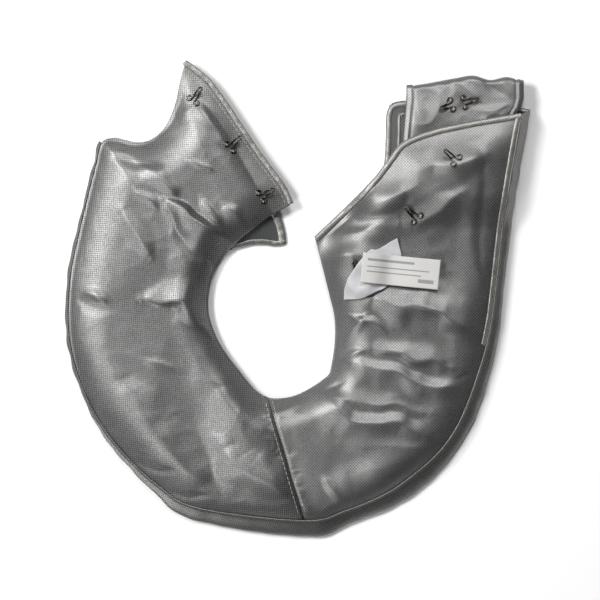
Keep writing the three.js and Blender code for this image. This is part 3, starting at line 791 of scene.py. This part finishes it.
# Settings that the panel shows
class BlanketSettings(bpy.types.PropertyGroup):
    """Sizes of the stitches and the wire, and the colours of cloth and label"""

    skin_step: bpy.props.FloatProperty(
        name="Skin step", description="Spacing of the front skin's net", default=1.7 * MM,
        min=1.0 * MM, max=8.0 * MM, unit="LENGTH", precision=5
    )
    stitch_length: bpy.props.FloatProperty(
        name="Stitch length", description="Length of one stitch", default=3.6 * MM,
        unit="LENGTH", precision=5
    )
    stitch_gap: bpy.props.FloatProperty(
        name="Stitch gap", description="Way between two stitches", default=1.4 * MM,
        unit="LENGTH", precision=5
    )
    thread: bpy.props.FloatProperty(
        name="Thread", description="Radius of the sewing thread", default=0.32 * MM,
        unit="LENGTH", precision=5
    )
    wire: bpy.props.FloatProperty(
        name="Wire", description="Radius of the hook wire", default=0.95 * MM,
        unit="LENGTH", precision=5
    )
    # Lighter end of the cloth's ramp, reached on the raised threads: partly a painted highlight of the
    # weave, partly random tone of the coating
    cloth_light: bpy.props.FloatVectorProperty(
        name="Cloth, light", description="Colour of the silver cloth on its raised threads",
        default=linear("#90908f"), size=4, min=0.0, max=1.0, subtype="COLOR"
    )
    # Darker end of the cloth's ramp, reached between the threads: partly a painted shade of the weave,
    # partly random tone of the coating
    cloth_dark: bpy.props.FloatVectorProperty(
        name="Cloth, dark", description="Colour of the silver cloth between its threads",
        default=linear("#242525"), size=4, min=0.0, max=1.0, subtype="COLOR"
    )
    label: bpy.props.FloatVectorProperty(
        name="Label", description="Colour of the label's paper",
        default=linear("#c2c1be"), size=4, min=0.0, max=1.0, subtype="COLOR"
    )


class StageSettings(bpy.types.PropertyGroup):
    """Camera, ground and light"""

    camera_height: bpy.props.FloatProperty(
        name="Camera height", description="Above the ground", default=3.2, unit="LENGTH"
    )
    field: bpy.props.FloatProperty(
        name="Field", description="Width that the camera sees", default=0.597, unit="LENGTH"
    )
    key_power: bpy.props.FloatProperty(
        name="Key light", description="Power of the light from the upper left, in watts", default=58.0
    )
    fill: bpy.props.FloatProperty(
        name="Fill", description="Strength of the light from all round", default=0.1
    )
    lamp_size: bpy.props.FloatProperty(
        name="Lamp size", description="Width of each round lamp", default=0.9, unit="LENGTH"
    )
    ground: bpy.props.FloatVectorProperty(
        name="Ground", description="Colour of the ground",
        default=linear("#f4f4f4"), size=4, min=0.0, max=1.0, subtype="COLOR"
    )


def pad_net(pad, side, step, edge=EDGE_ROWS):
    """Places of one half of a pad, with the halves a hair apart at the seam."""
    first, last = HALVES[side]
    stations = pad.columns(first, last, step)
    shares = share_rows(float(pad.width(stations).mean()), step, edge)
    places = pad.at(stations[:, None], shares[None, :])
    along = seam_line[1] - seam_line[0]
    away = np.array((-along[1], along[0])) / np.linalg.norm(along)
    shift = away * SEAM_GAP * np.sign(away[0])
    if side == "left":
        places[-1] -= shift
    else:
        places[0] += shift
    return places


class HEAT_OT_front_skins(bpy.types.Operator):
    """Two halves of the front skin with their folds"""

    bl_idname = "heat.front_skins"
    bl_label = "Front skins"

    def execute(self, context):
        step = context.scene.heat_blanket.skin_step / MM * 1
        for side in HALVES:
            places = pad_net(front, side, step)
            top = front_skin(places)
            verts, faces = layer_mesh(places, top, top - CLOTH + 0.1)
            piece = new_piece(f"front_skin_{side}", verts, faces, material(side), "silver_cloth")
            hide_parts(f"front_cloth_{side}")
            if side == "left":
                hems = [(front.left, front, 5.0, front_skin)]
            else:
                # The welt runs along the upper part of the right rim
                welt = spline(FRONT[:, 2:], np.linspace(28 / LAST, 33.85 / LAST, 80))
                hems = [(front.right, front, 5.2, front_skin), (welt, front, 5.0, front_skin)]
            trims = add_hems(piece.name, hems)
        return {"FINISHED"}


class HEAT_OT_liners(bpy.types.Operator):
    """Knitted wire liners of both pads"""

    bl_idname = "heat.liners"
    bl_label = "Liners"

    def execute(self, context):
        edge = (0, 2, 4.5, 7, 10.4)
        for name, pad in (("front", front), ("back", back)):
            for side in HALVES:
                places = pad_net(pad, side, 5, edge)
                if name == "front":
                    low = front_under(places)
                    high = low + LINER
                else:
                    high = back_top(places) + 0.25 * (crumple(places, 9) - 0.5) * back.fullness(places)
                    low = high - LINER
                verts, faces = layer_mesh(places, high, low)
                piece = new_piece(
                    f"{name}_liner_sheet_{side}", verts, faces, material("liner"), "wire_liner"
                )
                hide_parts(f"{name}_liner_{side}")
        return {"FINISHED"}


class HEAT_OT_back_skins(bpy.types.Operator):
    """Two halves of the back skin, which the blanket lies on"""

    bl_idname = "heat.back_skins"
    bl_label = "Back skins"

    def execute(self, context):
        for side in HALVES:
            places = pad_net(back, side, 4, (0, 1.2, 3, 6, 10.4))
            dip = 0.22 * (crumple(places, 21) - 1.6)
            low = np.maximum(0, -dip * 0.6 * back.fullness(places))
            verts, faces = layer_mesh(places, CLOTH, low)
            piece = new_piece(f"back_skin_{side}", verts, faces, material(side), "silver_cloth")
            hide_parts(f"back_cloth_{side}")
            if side == "left":
                inner = spline(back.stations[:, :2], np.linspace(0, 6 / LAST, 30))
                hems = [(back.left, back, 7.0, back_top), (inner, back, 5.0, back_top)]
            else:
                hems = [(back.right, back, 4.6, back_top)]
                hems.append((offset_line(back.right[14:44], -13.5), back, 3.0, back_top))
            trims = add_hems(piece.name, hems, stitched=side == "right")
        return {"FINISHED"}


def unit_rows(rows):
    """Directions brought to length 1."""
    return rows / np.linalg.norm(rows, axis=-1)[..., None]


def side_of(line, pad):
    """Directions across a line of places, towards the inside of a pad."""
    along = unit_rows(np.gradient(line, axis=0))
    into = np.stack([-along[:, 1], along[:, 0]], -1)
    return into if inside(pad.outline, line + into * 4).mean() > 0.5 else -into


# A turned hem in section: share of its width, height, share of the edge's thickness below
HEM = (
    (1.04, -0.35, 0), (0.97, 0.55, 0), (0.78, 1.15, 0), (0.5, 1.35, 0), (0.2, 1.05, 0),
    (-0.05, 0.25, 0), (-0.14, 0.1, 0.45), (-0.08, 0.0, 0.95), (0.0, -0.2, 0.9), (0.02, -0.1, 0.3),
    (0.08, 0.15, 0), (0.5, 0.2, 0),
)


def hem_mesh(line, into, width, surface):
    """A turned hem that wraps an edge, as verts and faces. Small puckers come from its stitches."""
    run = run_along(line)
    pucker = 1 + 0.16 * np.sin(run / 3.1) + 0.1 * np.sin(run / 1.3)
    rings = []
    for share, lift, drop in HEM:
        foot = line + into * share * width
        level = surface(line + into * max(share * width, 0.4))
        height = level + lift * (pucker if lift > 0.3 else 1) - drop * SEWN
        rings.append(with_height(foot, np.maximum(height, 0.1)))
    rings = np.stack(rings, 1)
    rows = len(HEM)
    faces = grid_faces(len(line), rows, wrap=True)
    faces.append(tuple(range(rows))[::-1])
    faces.append(tuple(range((len(line) - 1) * rows, len(line) * rows)))
    return to_frame(rings).reshape(-1, 3), faces


def resampled(line, step):
    """The same line with points about step millimetres apart."""
    line = np.asarray(line, float)
    run = run_along(line)
    even = np.linspace(0, run[-1], max(3, int(run[-1] / step) + 1))
    return np.stack([np.interp(even, run, line[:, k]) for k in (0, 1)], -1)


def overcast(line, into, width, surface):
    """Slanted stitches over a hem."""
    places = resampled(line, OVERCAST_PITCH)
    into = into[np.linspace(0, len(into) - 1, len(places)).astype(int)]
    along = unit_rows(np.gradient(places, axis=0))
    threads = []
    shares = np.linspace(0.02, 0.98, 7)
    bulge = np.interp(shares, (0, 0.2, 0.5, 0.78, 0.97), (0.35, 1.05, 1.35, 1.15, 0.55))
    for place, across, ahead in zip(places, into, along):
        points = place + np.outer(shares * width, across) + np.outer((shares - 0.5) * 1.9, ahead)
        height = surface(points) + bulge + 0.12
        threads.append(tube(to_frame(with_height(points, height)), OVERCAST_RADIUS * MM, 6))
    return threads


def add_hems(name, hems, stitched=True):
    """One piece for all hems of a skin, and one for their stitches."""
    parts = []
    threads = []
    for line, pad, width, surface in hems:
        line = resampled(line, 1.3)
        into = side_of(line, pad)
        parts.append(hem_mesh(line, into, width, surface))
        if stitched:
            threads += overcast(line, into, width, surface)
    pieces = [new_piece(f"{name}_hem", *joined(parts), material("hem"), "silver_cloth")]
    if threads:
        verts, faces = joined(threads)
        pieces.append(
            new_piece(f"{name}_hem_stitches", verts, faces, material("thread"), "silver_cloth")
        )
    return pieces


def band_rings(station, offset, count=18):
    """The rim band's outer face, from the back pad's edge up to the front pad's."""
    low = back.at(station, 1.0)
    high = front.at(station, 1.0)
    width = front.width(station)
    out = high - front.at(station, 1 - 5 / width)
    out /= np.linalg.norm(out, axis=-1)[..., None]
    under = front_under(high)
    zero = np.zeros(len(station))
    run = run_along(low)
    pucker = 0.9 * np.sin(run / 7.5 + 3 * np.sin(run / 31)) + 0.6 * np.sin(run / 3.9)
    controls = [
        (low, offset - 0.4, zero + 0.1),
        (low, offset + 0.3, zero + SEWN * 0.6),
        (low, offset + 1.2 + 0.3 * pucker, zero + SEWN + 1.5),
        ((low + high) / 2, offset + 3 + 0.5 * pucker, (SEWN + under) / 2),
        (high, offset + 1.2 + 0.4 * pucker, under - 1.5),
        (high, offset - 0.3, under + 0.6),
        (high, offset - 0.2, under + SEWN + 0.9),
    ]
    points = np.stack([
        with_height(foot + out * np.reshape(reach * np.ones(len(station)), (-1, 1)), z)
        for foot, reach, z in controls
    ])
    curve = spline(points.reshape(len(controls), -1), np.linspace(0, 1, count))
    return np.swapaxes(curve.reshape(count, len(station), 3), 0, 1)


class HEAT_OT_rim_band(bpy.types.Operator):
    """Rim band between the two pads, with its puckers"""

    bl_idname = "heat.rim_band"
    bl_label = "Rim band"

    def execute(self, context):
        stations = front.columns(CORNER, LAST, 2.0)
        outer = band_rings(stations, TOUCH + CLOTH)
        inner = band_rings(stations, TOUCH)
        verts, faces = sheet_mesh(to_frame(outer), to_frame(inner))
        piece = new_piece("rim_band", verts, faces, material("rim"), "silver_cloth")
        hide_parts("rim_cloth")
        return {"FINISHED"}


def read_across(points, y):
    """The first number of a line of points, read at the second."""
    return np.interp(y, [p[1] for p in points], [p[0] for p in points])


def flap_outer(across):
    """Height of the felt's outer face above the middle of the flap."""
    side = np.minimum(across, FLAP_WIDTH - across)
    return FLAP_INNER + FLAP_FELT * swell(side, FLAP_SWELL) + TOUCH * np.clip(side / 7, 0, 1)


def flap_wrinkles(across, places):
    """Folds and wrinkles of the flap, which die away towards its side hems."""
    soft = swell(np.minimum(across, FLAP_WIDTH - across) - 6, 14)
    return soft * (crumple(places, 31) + fold_height(places, FLAP_FOLDS))


def flap_face(across, radius, wrinkle=0.0):
    """One face of a folded layer: up the top leaf, round the fold and back along the lower leaf."""
    share = across / FLAP_WIDTH
    fold = spline(FLAP_FOLD, share)[:, 1]
    turn_y = fold - flap_outer(across) - CLOTH
    tail = FLAP_TAIL[0] + (FLAP_TAIL[1] - FLAP_TAIL[0]) * share
    lines = []
    for t in np.linspace(0, 1, 44):
        y = tail + (turn_y - tail) * t
        lines.append((y, flap_middle(y), radius, 1.0))
    for angle in np.linspace(0, math.pi, 14)[1:-1]:
        lines.append((turn_y + radius * math.sin(angle), flap_middle(turn_y), radius, math.cos(angle)))
    for t in np.linspace(1, 0, 20):
        y = tail + (turn_y - tail) * t
        lines.append((y, flap_middle(y), radius, -1.0))
    net = []
    for y, middle, reach, side in lines:
        low = read_across(FLAP_LEFT, y)
        x = low + (read_across(FLAP_RIGHT, y) - low) * share
        lift = 0.0
        if side > 0 and wrinkle:
            lift = side * wrinkle * flap_wrinkles(across, np.stack([x, y], -1))
        net.append(np.stack([x, y, middle + reach * side + lift], -1))
    return np.swapaxes(np.array(net), 0, 1)


def flap_top(places):
    """Height of the flap's upper face."""
    low = read_across(FLAP_LEFT, places[..., 1])
    across = np.clip(places[..., 0] - low, 0, FLAP_WIDTH)
    lift = FLAP_WRINKLES * flap_wrinkles(across, places)
    return flap_middle(places[..., 1]) + flap_outer(across) + CLOTH + lift


class HEAT_OT_neck_flap(bpy.types.Operator):
    """Neck flap, folded double, with its liner and hems"""

    bl_idname = "heat.neck_flap"
    bl_label = "Neck flap"

    def execute(self, context):
        across = share_rows(FLAP_WIDTH, 1.8) * FLAP_WIDTH
        side = np.minimum(across, FLAP_WIDTH - across)
        # A doubled side hem, and the groove that its stitches pull beside it
        hem = 1.1 * (1 - smoothstep(side, 5.6, 6.6)) - 0.5 * np.exp(-(((side - 7) / 0.8) ** 2))
        outer = flap_face(across, flap_outer(across) + CLOTH + hem, FLAP_WRINKLES)
        inner = flap_face(across, flap_outer(across), FLAP_WRINKLES)
        verts, faces = sheet_mesh(to_frame(outer), to_frame(inner))
        skin = new_piece("flap_skin", verts, faces, material("right"), "silver_cloth")
        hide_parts("flap_cloth")
        coarse = np.linspace(0, FLAP_WIDTH, 30)
        verts, faces = sheet_mesh(
            to_frame(flap_face(coarse, np.full(30, 1.4))), to_frame(flap_face(coarse, np.full(30, 0.6)))
        )
        lining = new_piece("flap_liner_sheet", verts, faces, material("liner"), "wire_liner")
        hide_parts("flap_liner")
        return {"FINISHED"}


def hook_path(x, y, degrees, length, surface):
    """Middle of the wire: an eyelet, up the tongue, round its tip and back to the other eyelet."""
    half = []
    for angle in np.radians(np.linspace(-352, -90, 12)):
        half.append((EYELET * math.cos(angle), EYELET_REACH + EYELET * math.sin(angle)))
    half += [(length * 0.42, 1.9), (length * 0.7, 1.5), (length - 1.5, 1.5)]
    outline = np.array(half + [(length, 0)] + [(s, -t) for s, t in reversed(half)])
    outline = spline(outline, even_share(outline, np.linspace(0, 1, 110)))
    base = np.array((x, y), float)
    places = base + turned(outline, degrees)
    lying = surface(places) + WIRE_LEVEL
    rising = TIP_LIFT * smoothstep(outline[:, 0], 3, length * 0.8)
    lifted = surface(base[None])[0] + WIRE_LEVEL + rising
    blend = smoothstep(outline[:, 0], 2, 8)
    return with_height(places, lying + (np.maximum(lying, lifted) - lying) * blend)


def eyelet_tacks(x, y, degrees, surface):
    """Three threads over the foot of each eyelet."""
    tacks = []
    lift = np.array((0.0, 1.9, 0.9))
    for eyelet in (-1, 1):
        for turn in (-55, 0, 55):
            spread = turned(np.array([(-3.4, 0), (-1.2, 0), (0, 0)]), turn)
            local = spread * np.array((1, eyelet)) + np.array((0, EYELET_REACH * eyelet))
            places = np.array((x, y)) + turned(local, degrees)
            thread = with_height(places, surface(places) + lift)
            thread = spline(thread, np.linspace(0, 1, 7))
            tacks.append(tube(to_frame(thread), TACK_RADIUS * MM, 6))
    return tacks


class HEAT_OT_hooks(bpy.types.Operator):
    """Bent wire lacing hooks and the thread that holds their eyelets"""

    bl_idname = "heat.hooks"
    bl_label = "Lacing hooks"

    def execute(self, context):
        settings = context.scene.heat_blanket
        tacks = []
        for surface, hooks in ((front_skin, FRONT_HOOKS), (flap_top, FLAP_HOOKS)):
            for name, (x, y, degrees, length) in hooks.items():
                path = hook_path(x, y, degrees, length, surface)
                verts, faces = tube(to_frame(path), settings.wire, 12)
                piece = new_piece(f"{name}_wire", verts, faces, material("wire"), "hook_wire")
                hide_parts(name)
                tacks += eyelet_tacks(x, y, degrees, surface)
        verts, faces = joined(tacks)
        new_piece("hook_tacks", verts, faces, material("thread"), "silver_cloth")
        return {"FINISHED"}


def cover(places):
    """Height of what the tape and the label lie on."""
    around = [(0, 0)] + [(5 * math.cos(a), 5 * math.sin(a)) for a in np.radians(range(0, 360, 60))]
    heights = np.max([front_skin(places + np.array(step)) for step in around], axis=0)
    hook_x, hook_y = FRONT_HOOKS["right_hook_1"][:2]
    hook = np.hypot(places[..., 0] - hook_x, places[..., 1] - hook_y)
    return heights + 6 * (1 - smoothstep(hook, 12, 26))


class HEAT_OT_label(bpy.types.Operator):
    """Blank paper label with grey fields, lying on a torn strip of tape"""

    bl_idname = "heat.label"
    bl_label = "Label and tape"

    def execute(self, context):
        t = np.linspace(0, 1, 46)
        left = spline(STRIP_LEFT, t)
        right = spline(STRIP_RIGHT, t)
        tear = 1.4 * (noise(left, 5, 41) - 0.5)
        left = left + tear[:, None]
        share = np.linspace(0, 1, 24)[None, :, None]
        places = left[:, None] * (1 - share) + right[:, None] * share
        top = cover(places) + 1.0 + 1.6 * noise(turned(places, 35), 9, 43)
        verts, faces = layer_mesh(places, top + 0.2, top)
        strip = new_piece("torn_tape", verts, faces, material("tape"), "white_tape")
        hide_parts("label_tape")

        middle, length, width, turn = LABEL
        along = np.linspace(-0.5, 0.5, 61)
        across = np.linspace(-0.5, 0.5, 25)
        local = np.stack(np.meshgrid(along * length, across * width, indexing="ij"), -1)
        places = np.array(middle) + turned(local, turn)
        # Paper is stiff: level across, and bent softly along its length
        level = cover(places).max(axis=1)
        level = np.array([level[max(0, i - 5):i + 6].max() for i in range(len(level))])
        kernel = np.hanning(13)[1:-1]
        level = np.convolve(np.pad(level, 5, mode="edge"), kernel / kernel.sum(), mode="valid")
        top = (level + 2.6)[:, None] + np.zeros((1, len(across)))
        verts, faces = layer_mesh(places, top + 0.25, top)
        label = new_piece("paper_tag", verts, faces, material("label"), "label_paper")
        label.data.materials.append(material("print"))
        rows = len(across)
        for polygon in label.data.polygons[: (len(along) - 1) * (rows - 1)]:
            i, j = divmod(polygon.index, rows - 1)
            if any(a <= i < b and c <= j < d for a, b, c, d in LABEL_FIELDS):
                polygon.material_index = 1
        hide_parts("paper_label")
        return {"FINISHED"}


def stitch_run(line, height, settings):
    """Stitches as short threads along a line of places, each end sunk into the cloth."""
    line = np.asarray(line, float)
    run = run_along(line)
    length = settings.stitch_length / MM
    pitch = length + settings.stitch_gap / MM
    starts = np.arange(pitch / 2, run[-1] - pitch, pitch)
    t = np.linspace(0, 1, 6)
    at = starts[:, None] + t[None, :] * length
    places = np.stack([np.interp(at, run, line[:, k]) for k in (0, 1)], -1)
    z = height(places) + 0.35 * np.sin(t * math.pi)[None, :] - 0.12
    points = to_frame(with_height(places, z))
    return [tube(p, settings.thread, 6) for p in points]


def offset_line(line, reach):
    """A line of places moved sideways."""
    along = np.gradient(line, axis=0)
    along /= np.linalg.norm(along, axis=1)[:, None]
    return line + np.stack([-along[:, 1], along[:, 0]], -1) * reach


def toward_inside(line, reach, pad):
    """A line moved sideways to the side that lies within the pad."""
    moved = offset_line(line, reach)
    return moved if inside(pad.outline, moved).mean() > 0.5 else offset_line(line, -reach)


class HEAT_OT_stitches(bpy.types.Operator):
    """Topstitching along the seam, the left end and the sides of the neck flap"""

    bl_idname = "heat.stitches"
    bl_label = "Stitches"

    def execute(self, context):
        settings = context.scene.heat_blanket
        threads = []
        for reach in (-3.4, 3.4):
            t = np.linspace(0.02, 0.98, 60)[:, None]
            line = seam_line[0] + (seam_line[1] - seam_line[0]) * t
            threads += stitch_run(offset_line(line, reach), front_skin, settings)
        threads += stitch_run(toward_inside(front.left, 7.5, front), front_skin, settings)
        for reach in (3.6, FLAP_WIDTH - 3.6):
            y = np.linspace(186, 212, 30)
            low = read_across(FLAP_LEFT, y)
            high = read_across(FLAP_RIGHT, y)
            x = low + (high - low) * reach / FLAP_WIDTH
            threads += stitch_run(np.stack([x, y], -1), flap_top, settings)
        verts, faces = joined(threads)
        new_piece("topstitching", verts, faces, material("thread"), "silver_cloth")
        return {"FINISHED"}


class HEAT_OT_cores(bpy.types.Operator):
    """Felt cores, which stay hidden between the skins and the liners"""

    bl_idname = "heat.cores"
    bl_label = "Felt cores"

    def execute(self, context):
        for name, pad in (("front", front), ("back", back)):
            for side in HALVES:
                places = pad_net(pad, side, 5, (9, 12, 16))
                if name == "front":
                    low = front_under(places) + LINER + TOUCH
                    high = front_skin(places) - CLOTH - TOUCH
                else:
                    low = np.full(places.shape[:-1], CLOTH + TOUCH)
                    high = back_top(places) - LINER - TOUCH - 0.5
                high = np.maximum(high, low + 0.1)
                verts, faces = layer_mesh(places, high, low)
                piece = new_piece(f"{name}_core_{side}", verts, faces, material("felt"), "needle_felt")
                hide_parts(f"{name}_felt_{side}")
        for name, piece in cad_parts.items():
            if name in ("rim_felt", "flap_felt"):
                piece.data.materials.clear()
                piece.data.materials.append(material("felt"))
        return {"FINISHED"}


class HEAT_OT_stage(bpy.types.Operator):
    """White ground, light from the upper left, and the camera straight above"""

    bl_idname = "heat.stage"
    bl_label = "Stage"

    def execute(self, context):
        scene = context.scene
        settings = scene.heat_stage
        scene.view_settings.view_transform = "Standard"

        ground_material, tree, shader = new_material("white_ground", Roughness=0.9)
        shader.inputs["Base Color"].default_value = settings.ground
        mesh = bpy.data.meshes.new("ground")
        mesh.from_pydata([(-4, -4, 0), (4, -4, 0), (4, 4, 0), (-4, 4, 0)], [], [(0, 1, 2, 3)])
        mesh.materials.append(ground_material)
        ground = bpy.data.objects.new("ground", mesh)
        ground.location.z = -0.5 * MM
        scene.collection.objects.link(ground)

        for name, (share, place) in LAMPS.items():
            light = bpy.data.lights.new(name, "AREA")
            light.energy = settings.key_power * share
            light.shape = "DISK"
            light.size = settings.lamp_size
            lamp = bpy.data.objects.new(name, light)
            lamp.location = place
            lamp.rotation_euler = (-Vector(place)).to_track_quat("-Z", "Y").to_euler()
            scene.collection.objects.link(lamp)

        world = bpy.data.worlds.new("studio")
        scene.world = world
        world.use_nodes = True
        tree = world.node_tree
        tree.nodes.clear()
        path = node(tree, "ShaderNodeLightPath")
        seen = node(tree, "ShaderNodeBackground", Color=(1, 1, 1, 1), Strength=1.0)
        around = node(tree, "ShaderNodeTexCoord").outputs["Generated"]
        height = node(tree, "ShaderNodeSeparateXYZ", Vector=around)
        shade = node(tree, "ShaderNodeValToRGB", Fac=height.outputs["Z"])
        shade.color_ramp.elements[0].color = (0.5, 0.5, 0.52, 1)
        shade.color_ramp.elements[1].color = (1, 1, 1, 1)
        fill = node(tree, "ShaderNodeBackground", Color=shade.outputs[0], Strength=settings.fill)
        both = node(tree, "ShaderNodeMixShader", Fac=path.outputs["Is Camera Ray"])
        tree.links.new(fill.outputs[0], both.inputs[1])
        tree.links.new(seen.outputs[0], both.inputs[2])
        out = node(tree, "ShaderNodeOutputWorld")
        tree.links.new(both.outputs[0], out.inputs["Surface"])

        camera = bpy.data.cameras.new("camera")
        camera.sensor_width = SENSOR
        camera.lens = SENSOR * settings.camera_height / settings.field
        held = bpy.data.objects.new("camera", camera)
        held.location = (-MIDDLE[0] * MM, -MIDDLE[1] * MM, settings.camera_height)
        scene.collection.objects.link(held)
        scene.camera = held
        return {"FINISHED"}


class HEAT_PT_panel(bpy.types.Panel):
    """Settings and steps of the heat blanket"""

    bl_idname = "HEAT_PT_panel"
    bl_label = "Heat Blanket"
    bl_space_type = "VIEW_3D"
    bl_region_type = "UI"
    bl_category = "Heat Blanket"

    def draw(self, context):
        layout = self.layout
        for group in (context.scene.heat_blanket, context.scene.heat_stage):
            for name in group.__annotations__:
                layout.prop(group, name)
        for operator in OPERATORS:
            layout.operator(operator.bl_idname)


OPERATORS = (
    HEAT_OT_back_skins, HEAT_OT_liners, HEAT_OT_cores, HEAT_OT_rim_band,
    HEAT_OT_neck_flap, HEAT_OT_front_skins, HEAT_OT_hooks, HEAT_OT_label, HEAT_OT_stitches,
    HEAT_OT_stage,
)
CLASSES = (BlanketSettings, StageSettings, *OPERATORS, HEAT_PT_panel)


def register():
    """Makes the settings, operators and panel known to Blender."""
    for item in CLASSES:
        bpy.utils.register_class(item)
    bpy.types.Scene.heat_blanket = bpy.props.PointerProperty(type=BlanketSettings)
    bpy.types.Scene.heat_stage = bpy.props.PointerProperty(type=StageSettings)


def unregister():
    """Takes them away again."""
    del bpy.types.Scene.heat_stage
    del bpy.types.Scene.heat_blanket
    for item in reversed(CLASSES):
        bpy.utils.unregister_class(item)


def main():
    """Builds the blanket and its stage."""
    register()
    bpy.ops.heat.back_skins()
    bpy.ops.heat.liners()
    bpy.ops.heat.cores()
    bpy.ops.heat.rim_band()
    bpy.ops.heat.neck_flap()
    bpy.ops.heat.front_skins()
    bpy.ops.heat.hooks()
    bpy.ops.heat.label()
    bpy.ops.heat.stitches()
    bpy.ops.heat.stage()


if __name__ == "__main__":
    main()
